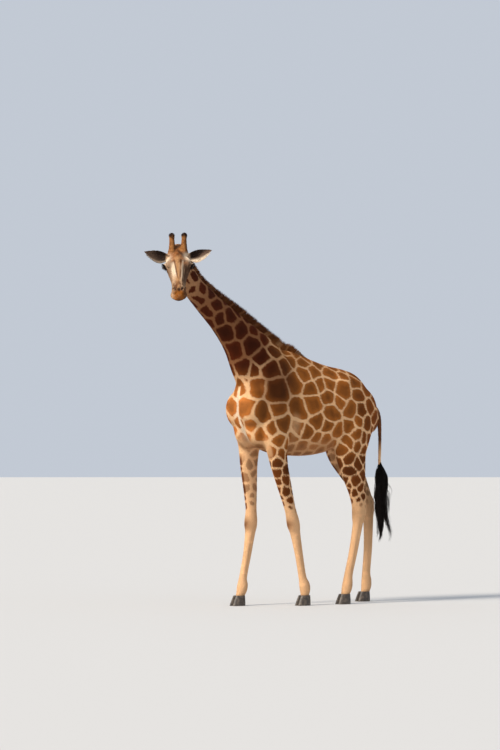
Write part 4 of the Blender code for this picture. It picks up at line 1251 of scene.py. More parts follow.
def markings_group():
    """Return the node group that turns the painted attributes into the coat's colour."""
    tree = bpy.data.node_groups.get("coat_markings")
    if tree:
        return tree
    tree = bpy.data.node_groups.new("coat_markings", "ShaderNodeTree")
    for name, way, kind in GROUP_SOCKETS:
        tree.interface.new_socket(name, in_out=way, socket_type="NodeSocket" + kind)
    given = tree.nodes.new("NodeGroupInput").outputs
    out = tree.nodes.new("NodeGroupOutput")
    ragged = node(tree, "TexNoise", {"Scale": 45.0, "Detail": 4.0, "Roughness": 0.65,
                                     "Vector": given["Place"]})
    centred = node(tree, "Math", {0: ragged.outputs["Fac"], 1: 0.5}, operation="SUBTRACT")
    wavy = node(tree, "Math", {0: centred.outputs[0], 1: 0.020, 2: given["Depth"]},
                operation="MULTIPLY_ADD").outputs[0]
    mask = node(tree, "MapRange", {"From Min": -0.0035, "From Max": 0.0045, "Value": wavy},
                interpolation_type="SMOOTHSTEP")
    core = node(tree, "MapRange", {"From Min": 0.004, "From Max": 0.060, "To Min": 1.12,
                                   "To Max": 0.72, "Value": wavy},
                interpolation_type="SMOOTHSTEP")
    dark = scaled(tree, given["Patch"], core.outputs[0])
    both = node(tree, "Mix", {"Factor": mask.outputs[0], 6: given["Ground"], 7: dark},
                data_type="RGBA")
    hairs = node(tree, "TexNoise", {"Detail": 3.0, "Scale": given["Grain"],
                                    "Vector": given["Place"]}).outputs["Fac"]
    light = node(tree, "MapRange", {"From Min": 0.3, "From Max": 0.7, "To Min": 0.86,
                                    "To Max": 1.14, "Value": hairs})
    tuft = node(tree, "Math", {0: light.outputs[0], 1: given["Shade"]}, operation="ADD")
    feed(tree, out, {"Color": scaled(tree, both.outputs[2], tuft.outputs[0]), "Hair": hairs})
    return tree


def coat_material(name, bump):
    """Return the material that shows painted markings, with short hair as a fine bump."""
    made, tree, shader = new_material(name, {"Roughness": 0.72, "Specular IOR Level": 0.10})
    marks = node(tree, "Group", node_tree=markings_group())
    feed(tree, marks, {"Grain": 260.0, "Place": object_place(tree)})
    painted = attribute_outputs(tree, *MARKINGS, "shade")
    feed(tree, marks, {key.title(): output for key, output in painted.items()})
    feed(tree, shader, {"Base Color": marks.outputs["Color"]})
    if bump:
        rough = node(tree, "Bump", {"Strength": bump, "Distance": 0.002,
                                    "Height": marks.outputs["Hair"]})
        feed(tree, shader, {"Normal": rough.outputs["Normal"]})
    return made


# ---- pieces ----------------------------------------------------------------------------------
def show_piece(mesh, name, replaced, material):
    """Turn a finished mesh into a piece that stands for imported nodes."""
    mesh.name = name
    mesh.materials.clear()
    mesh.materials.append(material)
    item = new_object(name, mesh)
    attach(item, "root")
    if replaced:
        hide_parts(*replaced)
    return item


def new_mesh(name, points, faces):
    """Return a mesh of triangles or quads from arrays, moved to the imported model's frame."""
    mesh = bpy.data.meshes.new(name)
    points = np.asarray(points, dtype=np.float32) + np.array(SHIFT, dtype=np.float32)
    sides = faces.shape[1]
    mesh.vertices.add(len(points))
    mesh.vertices.foreach_set("co", points.ravel())
    mesh.loops.add(faces.size)
    mesh.loops.foreach_set("vertex_index", faces.astype(np.int32).ravel())
    mesh.polygons.add(len(faces))
    mesh.polygons.foreach_set("loop_start", np.arange(0, faces.size, sides, dtype=np.int32))
    mesh.update(calc_edges=True)
    mesh.shade_smooth()
    return mesh


def write_attributes(mesh, **painted):
    """Write vertex attributes from arrays."""
    for name, values in painted.items():
        kind = ATTRIBUTES[name]
        field, width = FIELDS[kind]
        values = np.asarray(values, dtype=np.float32)
        if width == 4:
            values = np.hstack([values, np.ones((len(values), 1), dtype=np.float32)])
        mesh.attributes.new(name, kind, "POINT").data.foreach_set(field, values.ravel())


def read_attribute(mesh, name):
    """Return a vertex attribute as an array."""
    field, width = FIELDS[ATTRIBUTES[name]]
    values = np.zeros(len(mesh.vertices) * width, dtype=np.float32)
    mesh.attributes[name].data.foreach_get(field, values)
    return values if width == 1 else values.reshape(-1, width)[:, :3]


def mesh_arrays(mesh):
    """Return a triangle mesh's points, in the animal's own sizes, its normals and its faces."""
    points = np.zeros(len(mesh.vertices) * 3, dtype=np.float32)
    mesh.vertices.foreach_get("co", points)
    normals = np.zeros(len(mesh.vertices) * 3, dtype=np.float32)
    mesh.vertex_normals.foreach_get("vector", normals)
    faces = np.zeros(len(mesh.polygons) * 3, dtype=np.int32)
    mesh.polygons.foreach_get("vertices", faces)
    return (points.reshape(-1, 3).astype(float) - np.array(SHIFT),
            normals.reshape(-1, 3).astype(float), faces.reshape(-1, 3))


def palette():
    """Return the coat's colours from the settings, as arrays."""
    settings = bpy.context.scene.giraffe_colours
    return {name: np.array(getattr(settings, name)) for name in GIRAFFE_PG_colours.__annotations__}


def unwrap(item):
    """Unwrap the skin's own shape, so that its coat can find its place on it."""
    item.data.uv_layers.new(name="OFBake")
    bpy.context.view_layer.objects.active = item
    item.select_set(True)
    bpy.ops.object.mode_set(mode="EDIT")
    bpy.ops.mesh.select_all(action="SELECT")
    bpy.ops.uv.smart_project(angle_limit=math.radians(75), island_margin=0.002)
    bpy.ops.object.mode_set(mode="OBJECT")
    item.select_set(False)


def build_skin():
    """Build the skin, paint its markings and the lie of its coat, and show it."""
    mesh = to_mesh("skin", skin_form())
    mesh.transform(Matrix.Translation(SHIFT))
    mesh.shade_smooth()
    points, normals, _ = mesh_arrays(mesh)
    where = Places(points, normals)
    rng = np.random.default_rng(SEEDS["patches"])
    middles, room = scatter_patches(where, rng)
    depth, ground, patch = paint(where, middles, room, rng, palette())
    write_attributes(mesh, depth=depth, ground=ground, patch=patch, lie=hair_lie(where))
    item = show_piece(mesh, "skin", FLESH, coat_material("hide", 0.35))
    unwrap(item)


# ---- hair ------------------------------------------------------------------------------------
SEEDS = {"patches": 11, "coat": 23, "mane": 5, "tail": 8, "lashes": 3, "horns": 17, "ears": 31}
# how many locks are tried or grown: in the whole model, in the quick one
HAIRS = {"coat": (900000, 60000), "mane": (7600, 1500), "tail": (1700, 300),
         "horns": (16000, 2000)}
COAT_PIECE = 32000                # locks in one piece of the coat
BARE_LID = 0.0065                 # no coat grows nearer to the eyeball than this
BARE_NOSTRIL = 0.016              # nor nearer to the middle of a nostril
HORN_HAIR = {"spacing": 0.0034, "length": 0.0085, "longer": 0.0035, "width": 0.0024,
             "lift": 0.0012}
TAIL_LOCKS = 26
LOOSE_LOCKS = 6
EAR_HAIRS = 520                   # hairs of one ear
EAR_HAIR_LENGTH = 0.016
# upper and lower lashes of one eye: way they grow, number, length
LASHES = ((1, 110, 0.030), (-1, 60, 0.016))
PETAL = 0.0015                    # size of a lock's own patch on the map
LEAF_FACES = np.array(((0, 1, 2), (0, 2, 3), (0, 3, 1), (4, 2, 1), (4, 3, 2), (4, 1, 3)))


def hair_count(name):
    """Return how many locks to try or to grow."""
    whole, quick = HAIRS[name]
    return whole


def leaves(roots, normals, lies, lengths, widths, lift):
    """Return points and faces of flat, closed, pointed locks that lie along the skin."""
    across = np.cross(normals, lies)
    length, width, rise = lengths[:, None], widths[:, None], lift[:, None]
    middle = roots + lies * length * 0.42
    points = np.stack([
        roots - normals * rise * 0.35,
        middle - across * width * 0.5 + normals * rise * 0.25,
        middle + normals * (rise * 0.55 + width * 0.16),
        middle + across * width * 0.5 + normals * rise * 0.25,
        roots + lies * length + normals * rise,
    ], axis=1)
    faces = LEAF_FACES[None] + 5 * np.arange(len(roots))[:, None, None]
    return points.reshape(-1, 3), faces.reshape(-1, 3)


def strands(paths, radii, flat=1.0):
    """Return points and faces of closed three-sided strands, and two more values.

    These are each point's share of the way to the tip, and the number of points of a strand.
    paths holds n strands of k points.
    """
    count, steps = paths.shape[:2]
    run = unit(np.gradient(paths, axis=1))
    side = unit(np.cross(run, np.array((0.31, 0.87, 0.38))))
    deep = np.cross(run, side)
    rings = [paths + radii[..., None] * (side * math.cos(angle) + deep * math.sin(angle) * flat)
             for angle in (2 * math.pi * k / 3 for k in range(3))]
    ring = np.stack(rings, axis=2)[:, :-1]
    points = np.concatenate([ring.reshape(count, -1, 3), paths[:, -1:]], axis=1)
    size = points.shape[1]
    faces = [(0, 2, 1)]
    for k in range(steps - 2):
        for a in range(3):
            b = (a + 1) % 3
            low, high = 3 * k, 3 * (k + 1)
            faces += [(low + a, low + b, high + b), (low + a, high + b, high + a)]
    last = 3 * (steps - 2)
    faces += [(last + a, last + (a + 1) % 3, size - 1) for a in range(3)]
    faces = np.array(faces)[None] + size * np.arange(count)[:, None, None]
    along = np.concatenate([np.repeat(np.arange(steps - 1), 3), [steps - 1]]) / (steps - 1)
    return points.reshape(-1, 3), faces.reshape(-1, 3), np.tile(along, count), size


def hair_mesh(name, points, faces, owners, roots):
    """Return a mesh of locks that carry their roots' markings and soft normals.

    owners holds the lock of every point; roots holds each lock's attributes.
    """
    mesh = new_mesh(name, points, faces)
    write_attributes(mesh, **{key: roots[key][owners] for key in (*MARKINGS, "shade")})
    if "uv" in roots:
        lay_uv(mesh, faces, roots["uv"][owners], len(owners) // len(roots["uv"]))
    if "normal" in roots:
        own = np.zeros(len(points) * 3, dtype=np.float32)
        mesh.vertex_normals.foreach_get("vector", own)
        soft = unit(own.reshape(-1, 3) * 0.30 + roots["normal"][owners] * 0.70)
        mesh.normals_split_custom_set_from_vertices(soft)
    return mesh


def lay_uv(mesh, faces, places, size):
    """Give every lock of size points a small patch of its own on the map, at its root's place."""
    angle = 2 * math.pi * np.arange(size) / size
    petal = PETAL * np.stack([np.cos(angle), np.sin(angle)], axis=1)
    uv = limit(places + np.tile(petal, (len(places) // size, 1)))
    layer = mesh.uv_layers.new(name="OFBake")
    layer.data.foreach_set("uv", uv[faces.ravel()].astype(np.float32).ravel())


def thinned(points, cell):
    """Return which points to keep so that about one is left in each small cell."""
    keys = np.floor(points / cell[:, None]).astype(np.int64)
    keys = np.column_stack([keys, np.round(cell * 1e5).astype(np.int64)])
    _, kept = np.unique(keys, axis=0, return_index=True)
    return kept


class Roots:
    """Places on the skin where locks grow, with everything the skin knows there."""

    def __init__(self, item, spread, rng, tries):
        mesh = item.data
        points, normals, faces = mesh_arrays(mesh)
        corners = points[faces]
        area = np.linalg.norm(np.cross(corners[:, 1] - corners[:, 0],
                                       corners[:, 2] - corners[:, 0]), axis=1)
        cell = spread(points, normals)[faces].mean(axis=1)
        chance = area / cell ** 2
        picks = rng.choice(len(faces), size=tries, p=chance / chance.sum())
        share = rng.dirichlet((1.0, 1.0, 1.0), tries)
        spots = np.einsum("ij,ijk->ik", share, corners[picks])
        sizes = np.exp(np.round(np.log(cell[picks]) * 4) / 4)
        kept = thinned(spots, sizes)
        self.faces, self.share, self.points = faces[picks[kept]], share[kept], spots[kept]
        self.cell = cell[picks[kept]]
        self.normal = unit(self.read(normals))
        self.lie = tangent(self.read(read_attribute(mesh, "lie")), self.normal)
        self.given = {key: self.read(read_attribute(mesh, key)) for key in MARKINGS}
        self.given["normal"] = self.normal
        uv = np.zeros(len(mesh.loops) * 2, dtype=np.float32)
        if "OFBake" in mesh.uv_layers:
            mesh.uv_layers["OFBake"].data.foreach_get("uv", uv)
            uv = uv.reshape(-1, 3, 2)[picks[kept]]
            self.given["uv"] = np.einsum("ij,ijk->ik", self.share, uv)

    def read(self, values):
        """Return a vertex value at every root."""
        if values.ndim == 1:
            return np.einsum("ij,ij->i", self.share, values[self.faces])
        return np.einsum("ij,ijk->ik", self.share, values[self.faces])

    def pick(self, chosen):
        """Return the attributes of some of the roots."""
        return {key: value[chosen] for key, value in self.given.items()}


def coat_spread(points, normals):
    """Return the wanted distance between locks: finest on the face, ears and feet."""
    where = Places(points, normals)
    fine = np.maximum(where.head, where.ear)
    low = 1 - ease(where.z, 0.45, 1.15)
    nose = where.head * ease(where.reach, 0.50, 0.62)
    spacing = bpy.context.scene.giraffe_coat.lock_spacing
    return spacing * (1 - 0.42 * fine) * (1 - 0.32 * low) * (1 - 0.15 * nose)


def bare_places(where):
    """Return which points lie in an eye's opening or a nostril, where no coat grows."""
    bare = np.zeros(len(where.points), dtype=bool)
    for side, _ in SIDES:
        _, _, far, faces_out = eye_angles(where.local, side)
        bare |= faces_out & (far < EYE_RADIUS + BARE_LID)
        bare |= np.linalg.norm(where.local - NOSTRIL * (side, 1, 1), axis=1) < BARE_NOSTRIL
    return bare


def build_coat():
    """Cover the skin with short flat locks in pieces that share its markings."""
    settings = bpy.context.scene.giraffe_coat
    rng = np.random.default_rng(SEEDS["coat"])
    roots = Roots(bpy.data.objects["skin"], coat_spread, rng, hair_count("coat"))
    where = Places(roots.points, roots.normal)
    chosen = np.flatnonzero(~bare_places(where))
    chosen = chosen[np.lexsort((where.y[chosen], np.round(where.z[chosen] / 0.9)))]
    size = roots.cell[chosen] / settings.lock_spacing
    count = len(chosen)
    lengths = settings.lock_length * size ** 1.25 * rng.uniform(0.80, 1.20, count)
    widths = settings.lock_width * size * rng.uniform(0.80, 1.20, count)
    lift = settings.coat_depth * (0.25 + 0.55 * size ** 2) * rng.uniform(0.75, 1.15, count)
    lie = tangent(roots.lie[chosen] + rng.normal(0, 0.11, (count, 3)), roots.normal[chosen])
    given = roots.pick(chosen)
    given["shade"] = rng.normal(0, 0.060, count)
    material = coat_material("coat_hair", 0.0)
    pieces = math.ceil(count / COAT_PIECE)
    for index in range(pieces):
        part = np.arange(index * count // pieces, (index + 1) * count // pieces)
        points, faces = leaves(roots.points[chosen][part], roots.normal[chosen][part], lie[part],
                               lengths[part], widths[part], lift[part])
        owners = np.repeat(np.arange(len(part)), 5)
        held = {key: value[part] for key, value in given.items()}
        mesh = hair_mesh("coat", points, faces, owners, held)
        show_piece(mesh, "coat_%02d" % (index + 1), (), material)


def surface_tree(item):
    """Return a search tree over a piece's surface, its faces and the colour each point shows."""
    points, _, faces = mesh_arrays(item.data)
    tree = BVHTree.FromPolygons([Vector(p) for p in points], faces.tolist())
    ground, patch, depth = (read_attribute(item.data, key) for key in MARKINGS)
    return tree, faces, mix(ground, patch, ease(depth, -0.004, 0.004))


MANE_HALF_WIDTH = 0.021
MANE_RADIUS = 0.0021
MANE_TAPER = np.array((1.0, 1.05, 0.9, 0.55, 0.1))
# y and share of the height behind the neck; place in the head's frame and share at the poll
MANE_END = ((-0.29, 0.96), (-0.17, 0.74), (-0.04, 0.38), (0.10, 0.08))
POLL_MANE = (((0, -0.020, 0.074), 0.60),)


def crest_line():
    """Return the crest's points, outward directions and hair heights from the poll backward."""
    rows = curve(NECK, 4)
    lift = HEAD.to_3x3() @ Vector((0, 0.30, 0.95))
    line = [(*(HEAD @ Vector(spot)), *lift, height) for spot, height in POLL_MANE]
    for row, ring in list(zip(rows, tube_rings(rows, 24)))[-1:4:-1]:
        top = ring[6] if ring[6].z > ring[18].z else ring[18]
        line.append((*top, *(top - Vector(row[:3])).normalized(), 1.0))
    for y, height in MANE_END:
        top = np.interp(y, [row[0] for row in TRUNK], [row[1] for row in TRUNK])
        line.append((0, y, top, *Vector((0, 0.35, 0.94)).normalized(), height))
    return curve(line, 12)


def mane_roots(starts, rises, bare):
    """Return where strands leave the skin and the colours that it shows there.

    A strand that misses the skin starts in the air, with the bare colour.
    """
    skin, faces, shown = surface_tree(bpy.data.objects["skin"])
    roots, tones = [], []
    for point, up in zip(starts, rises):
        hit, _, face, _ = skin.ray_cast(Vector(point + up * 0.10), Vector(-up), 0.22)
        roots.append(np.array(hit) if hit is not None else point)
        tones.append(shown[faces[face][0]] if hit is not None else bare)
    return np.array(roots), np.array(tones)


def show_strands(name, replaced, paths, radii, looks, places, flat=1.0, rough=0.62):
    """Show long hair as a piece; looks and places on the map hold a row for each strand."""
    points, faces, along, size = strands(paths, radii, flat)
    owners = np.repeat(np.arange(len(paths)), size)
    mesh = hair_mesh(name, points, faces, owners, {"depth": np.zeros(len(paths)), **looks})
    write_attributes(mesh, along=along)
    lay_uv(mesh, faces, places[owners], size)
    show_piece(mesh, name, replaced, hair_material(name, rough))


def build_mane():
    """Grow the short upright mane of thousands of stiff strands."""
    colours = palette()
    rng = np.random.default_rng(SEEDS["mane"])
    line = crest_line()
    gaps = np.linalg.norm(np.diff(line[:, :3], axis=0), axis=1)
    travelled = np.concatenate([[0], np.cumsum(gaps)])
    count = hair_count("mane")
    at = np.sort(rng.uniform(0, travelled[-1], count))

    def on_line(places, columns):
        """Return columns of the crest's line at distances along it."""
        return np.stack([np.interp(places, travelled, line[:, k]) for k in columns], axis=1)

    rows = on_line(at, range(7))
    rise = unit(rows[:, 3:6])
    run = unit(on_line(at + 0.01, range(3)) - on_line(at - 0.01, range(3)))
    across = unit(np.cross(run, rise))
    aside = rng.triangular(-1, 0, 1, count)
    start = rows[:, :3] + across * (aside * MANE_HALF_WIDTH)[:, None]
    roots, tones = mane_roots(start, rise, colours["mane"])
    tall = rows[:, 6] * (0.12 + 0.48 * ease(at, 0.03, 0.35) + 0.40 * ease(at, 0.5, 1.3))
    fade = ease(travelled[-1] - at, 0.0, 0.25)
    length = bpy.context.scene.giraffe_coat.mane_height * tall * (1 - 0.30 * aside ** 2) \
        * rng.uniform(0.86, 1.10, count) * (0.5 + 0.5 * fade)
    clump = wander(np.column_stack([at, at * 0, at * 0]), 0.030, 0.16)
    lean = unit(rise + run * (0.22 + clump[:, :1]) + across * (aside * 0.16)[:, None]
                + rng.normal(0, 0.045, (count, 3)))
    steps = np.linspace(0, 1, 5)
    bend = run * 0.010 + rng.normal(0, 0.003, (count, 3))
    paths = (roots[:, None] - rise[:, None] * 0.006
             + lean[:, None] * (length[:, None] * steps)[..., None]
             + bend[:, None] * (steps ** 2)[None, :, None])
    radii = MANE_RADIUS * rng.uniform(0.8, 1.25, count)[:, None] * MANE_TAPER
    tip = limit(rng.normal(0.45, 0.22, count))
    pale = 0.30 + ease(np.sin(at * 21.0) + 0.7 * np.sin(at * 47.0 + 1.0), 0.1, 0.9) * 0.45
    base = mix(colours["mane"], colours["mane_light"], pale) * 0.45 + tones * 0.55
    looks = {"ground": base, "patch": mix(base, colours["mane_tip"], tip),
             "shade": rng.normal(0, 0.10, count)}
    places = np.column_stack([at / travelled[-1], aside * 0.15 + 0.5])
    show_strands("mane_hair", ("mane",), paths, radii, looks, places, 0.75)


def hair_material(name, rough):
    """Return the material of long hair: its ground colour at the root, its patch at the tip."""
    made, tree, shader = new_material(name, {"Roughness": rough, "Specular IOR Level": 0.08})
    painted = attribute_outputs(tree, "ground", "patch", "along", "shade")
    both = node(tree, "Mix", {"Factor": painted["along"], 6: painted["ground"],
                              7: painted["patch"]}, data_type="RGBA")
    fibres = node(tree, "TexNoise", {"Scale": 160.0})
    feed(tree, fibres, {"Vector": object_place(tree)})
    light = node(tree, "MapRange", {"To Min": 0.70, "To Max": 1.30,
                                    "Value": fibres.outputs["Fac"]})
    total = node(tree, "Math", {0: light.outputs[0], 1: painted["shade"]}, operation="ADD")
    feed(tree, shader, {"Base Color": scaled(tree, both.outputs[2], total.outputs[0])})
    return made


def build_tail_hair():
    """Hang the tail's long black hair in wavy locks with loose wisps at its end."""
    rng = np.random.default_rng(SEEDS["tail"])
    count = hair_count("tail")
    steps = np.linspace(0, 1, 16)
    rows = np.array(TUFT)[::-1]
    number = np.arange(TAIL_LOCKS)
    loose = number < LOOSE_LOCKS
    turn = rng.uniform(0, 2 * math.pi, TAIL_LOCKS)
    ring = rng.uniform(0.30, 0.80, TAIL_LOCKS)
    low = np.where(loose, 0.62 + 0.06 * number, rng.uniform(0.60, 1.00, TAIL_LOCKS))
    away = np.where(loose, rng.uniform(0.070, 0.140, TAIL_LOCKS),
                    rng.uniform(-0.020, 0.020, TAIL_LOCKS))
    phase = rng.uniform(0, 2 * math.pi, (2, TAIL_LOCKS))
    lock = np.where(rng.uniform(0, 1, count) < 0.16, rng.integers(0, LOOSE_LOCKS, count),
                    rng.integers(LOOSE_LOCKS, TAIL_LOCKS, count))
    start_z = rng.uniform(1.34, 1.515, count)
    end_z = low[lock] + 0.30 * rng.beta(1.0, 3.0, count) - 0.01
    z = start_z[:, None] + (end_z - start_z)[:, None] * steps
    middle, wide = (np.interp(z, rows[:, 1], rows[:, k]) for k in (0, 2))
    own_turn = rng.uniform(0, 2 * math.pi, count)
    own = np.sqrt(rng.uniform(0, 1, count))[:, None] * wide * (0.62 - 0.45 * steps)
    swell = 0.006 + 0.016 * steps
    swing = [swell * np.sin(steps * rate + shift[lock][:, None] + rng.normal(0, 0.18, (count, 1)))
             for rate, shift in ((8.5, phase[0]), (10.0, phase[1]))]
    fly = away[lock][:, None] * ease(steps, 0.35, 1.0)[None] * rng.uniform(0.75, 1.1, (count, 1))
    base = ring[lock][:, None] * wide * (1.0 - 0.35 * steps)
    x = base * np.cos(turn[lock])[:, None] + own * np.cos(own_turn)[:, None] + swing[0] + fly * 0.2
    y = (middle + base * np.sin(turn[lock])[:, None] + own * np.sin(own_turn)[:, None]
         + swing[1] + fly)
    gather = 0.25 + 0.75 * ease(1.52 - z, 0.0, 0.16)
    paths = np.stack([x * gather, middle + (y - middle) * gather, z], axis=2)
    thick = rng.uniform(0.0013, 0.0026, count)[:, None]
    radii = thick * np.interp(steps, (0, 0.1, 0.6, 1), (0.7, 1.0, 0.85, 0.08))[None]
    colours = palette()
    looks = {"ground": np.tile(colours["tail_hair"], (count, 1)),
             "patch": np.tile(colours["tail_tip"], (count, 1)),
             "shade": rng.normal(0, 0.15, count)}
    places = np.column_stack([own_turn / (2 * math.pi), (start_z - 1.3) * 3.5])
    show_strands("tail_hair", ("tail_tuft",), paths, radii, looks, places, rough=0.45)


# ---- eyes, lashes, horns, hooves and ears ----------------------------------------------------
LASH_ROOT = 0.0035                # how far out from the eyeball a lash begins
LASH_RADIUS = 0.00085
LASH_TAPER = np.array((1.0, 1.0, 0.85, 0.65, 0.4, 0.1))
EAR_HAIR_RADII = 0.0009 * np.array([[1.0, 1.0, 0.8, 0.5, 0.1]])
HOOF_COLOURS = ((0.020, 0.015, 0.012), (0.075, 0.058, 0.046))
DUST_COLOUR = (0.17, 0.13, 0.095)


def eye_material():
    """Return the eye's wet, very dark brown material with its long level pupil."""
    made, tree, shader = new_material("eye", {"Roughness": 0.08, "Specular IOR Level": 0.30,
                                              "Coat Weight": 0.25, "Coat Roughness": 0.03})
    painted = attribute_outputs(tree, "ground")
    fibre = node(tree, "TexNoise", {"Scale": 420.0})
    feed(tree, fibre, {"Vector": object_place(tree)})
    light = node(tree, "MapRange", {"To Min": 0.6, "To Max": 1.4, "Value": fibre.outputs["Fac"]})
    feed(tree, shader, {"Base Color": scaled(tree, painted["ground"], light.outputs[0])})
    return made


def eye_colours(out, level):
    """Return an eyeball's colours from the angles off its axis and above its middle."""
    wide = np.sqrt(np.maximum(out ** 2 - level ** 2, 0))
    pupil = 1 - ease(np.hypot(wide / 0.42, level / 0.20), 0.85, 1.1)
    iris = 1 - ease(out, 0.66, 0.74)
    rim = hill((out, 0.68, 0.05))
    return layered(np.array((0.018, 0.010, 0.007)),
                   (np.array((0.022, 0.010, 0.004)), iris),
                   (np.array((0.004, 0.003, 0.003)), limit(pupil + rim * 0.7)))


def build_eyes():
    """Set both eyes: round balls with a raised cornea, dark iris and level pupil."""
    material = eye_material()
    for side, name in SIDES:
        axis = HEAD.to_3x3() @ sided(EYE_AXIS, side)
        turn = axis.to_track_quat("Z", "Y").to_matrix().to_4x4()
        form = bmesh.new()
        bmesh.ops.create_uvsphere(form, u_segments=64, v_segments=48, radius=1.0)
        bmesh.ops.triangulate(form, faces=form.faces[:])
        shapes = np.array([v.co for v in form.verts])
        out = np.arccos(np.clip(shapes[:, 2], -1, 1))
        bulge = CORNEA * hill((out, 0, 0.50), power=4)
        for vertex, direction, more in zip(form.verts, shapes, bulge):
            vertex.co = Vector(direction) * (EYE_RADIUS + float(more))
        form.transform(Matrix.Translation(HEAD @ sided(EYE_CENTRE, side)) @ turn)
        form.transform(Matrix.Translation(SHIFT))
        mesh = to_mesh("eye", form)
        mesh.shade_smooth()
        world = shapes @ np.array(turn.to_3x3()).T
        level = world @ np.array((0.0, 0.0, 1.0))
        level = level - level[np.argmin(out)]
        write_attributes(mesh, ground=eye_colours(out, level))
        show_piece(mesh, "eyeball_" + name, ("eye_" + name,), material)


def build_lashes():
    """Fringe the lids with long dark lashes."""
    rng = np.random.default_rng(SEEDS["lashes"])
    paths, thick = [], []
    steps = np.linspace(0, 1, 6)
    matrix = np.array(HEAD)
    for side, _ in SIDES:
        centre = np.array(sided(EYE_CENTRE, side))
        axis, forward, rise = eye_axes(side)
        for upper, number, long in LASHES:
            ahead = rng.uniform(-0.95, 0.95, number) * LID_HALF_WIDTH
            half = LID_HALF_HEIGHT * lid_shape(ahead)
            up = upper * half + rng.normal(0, 0.03, number) + 0.05 * upper
            out = (np.cos(up) * np.cos(ahead))[:, None] * axis \
                + (np.cos(up) * np.sin(ahead))[:, None] * forward + np.sin(up)[:, None] * rise
            root = centre + out * (EYE_RADIUS + LASH_ROOT)
            fan = unit(out + axis * 0.35 + rise * (0.12 * upper - 0.15)
                       + forward * (ahead * 0.10)[:, None] + rng.normal(0, 0.10, (number, 3)))
            length = long * rng.uniform(0.7, 1.1, number)
            droop = -rise * 0.006 * (1 if upper > 0 else 0.2)
            path = root[:, None] + fan[:, None] * (length[:, None] * steps)[..., None] \
                + droop * (np.sin(steps * math.pi * 0.5) * steps)[None, :, None]
            paths.append(path @ matrix[:3, :3].T + matrix[:3, 3])
            thick.append(LASH_RADIUS * rng.uniform(0.8, 1.2, number)[:, None] * LASH_TAPER)
    paths, thick = np.concatenate(paths), np.concatenate(thick)
    count = len(paths)
    black = np.tile(palette()["tail_hair"], (count, 1))
    looks = {"ground": black, "patch": black, "shade": rng.normal(0, 0.1, count)}
    places = np.column_stack([np.linspace(0.02, 0.98, count), np.full(count, 0.5)])
    show_strands("lashes", (), paths, thick, looks, places)


def horn_axis(side):
    """Return a horn's base and the direction in which it rises."""
    rise = (Vector((0, 0, 1)) + HEAD.to_3x3() @ Vector((side * 0.03, 0, 0))).normalized()
    return HEAD @ sided(HORN_BASE, side), rise


def horn_mesh(base, rise):
    """Return one horn with its blunt, slightly lumpy knob."""
    rows = curve([(*(base + rise * HORN_LENGTH * part), size + 0.0005, size + 0.0005)
                  for part, size in HORN_FORM], 9)
    form = bmesh.new()
    add_loft(form, tube_rings(rows, 40))
    bmesh.ops.triangulate(form, faces=form.faces[:])
    points, normals = coordinates(form)
    along = (points - np.array(base)) @ np.array(rise) / HORN_LENGTH
    lump = grain(points, 55)
    place_points(form, points + normals * (lump * 0.0016 * ease(0.95 - along, 0, 0.1))[:, None])
    form.transform(Matrix.Translation(SHIFT))
    mesh = to_mesh("horn", form)
    mesh.shade_smooth()
    return mesh


def build_horns():
    """Build the two hair-covered horns with their dark blunt knobs."""
    colours = palette()
    rng = np.random.default_rng(SEEDS["horns"])
    material = coat_material("horn_hair", 0.5)
    for side, name in SIDES:
        base, rise = horn_axis(side)
        mesh = horn_mesh(base, rise)
        points, normals, _ = mesh_arrays(mesh)
        ground = horn_colours(points, colours)
        lie = np.tile(rise, (len(points), 1)) + 0.05
        write_attributes(mesh, ground=ground, patch=ground, depth=np.full(len(points), -0.1),
                         lie=tangent(lie, normals))
        item = show_piece(mesh, "horn_" + name, ("ossicone_" + name,), material)
        roots = Roots(item, lambda spots, _: np.full(len(spots), HORN_HAIR["spacing"]), rng,
                      hair_count("horns"))
        high = (roots.points - np.array(base)) @ np.array(rise) / HORN_LENGTH
        top = ease(high, 0.74, 0.92)
        count = len(high)
        up = tangent(roots.lie + rng.normal(0, 0.12, (count, 3)), roots.normal)
        up = unit(up + roots.normal * (0.20 + 0.55 * top)[:, None])
        length = (HORN_HAIR["length"] + HORN_HAIR["longer"] * top) * rng.uniform(0.8, 1.2, count)
        points, faces = leaves(roots.points, roots.normal, up, length,
                               np.full(count, HORN_HAIR["width"]),
                               np.full(count, HORN_HAIR["lift"]))
        given = {**roots.given, "shade": rng.normal(0, 0.07, count)}
        hair = hair_mesh("horn_hair", points, faces, np.repeat(np.arange(count), 5), given)
        around = np.arctan2(roots.normal[:, 1], roots.normal[:, 0]) / (2 * math.pi) + 0.5
        places = np.column_stack([around, limit(high)])
        lay_uv(hair, faces, np.repeat(places, 5, axis=0), 5)
        show_piece(hair, "horn_hair_" + name, (), material)


def toe_ring(coronet, part, wide, long, inner):
    """Return one level of one toe: rounded outside, flat along the cleft."""
    ring = []
    ahead = 0.004 + 0.022 * (1 - part)
    half = HOOF_WIDTH / 2 * wide
    reach = HOOF_LENGTH / 2 * long
    middle = 0.45 * half
    for k in range(48):
        angle = 2 * math.pi * k / 48
        across = math.cos(angle) * inner
        if across > 0:
            x = middle + across * half * 0.55
        else:
            x = max(middle + across * (middle - CLEFT), CLEFT)
        swell = abs(math.sin(angle)) ** 0.85 * math.copysign(1, math.sin(angle))
        narrow = 1 - 0.16 * (1 - abs(across)) * (swell < 0)
        ring.append(Vector((coronet.x + inner * x * narrow, coronet.y - ahead + reach * swell,
                            HOOF_HEIGHT * part)))
    return ring


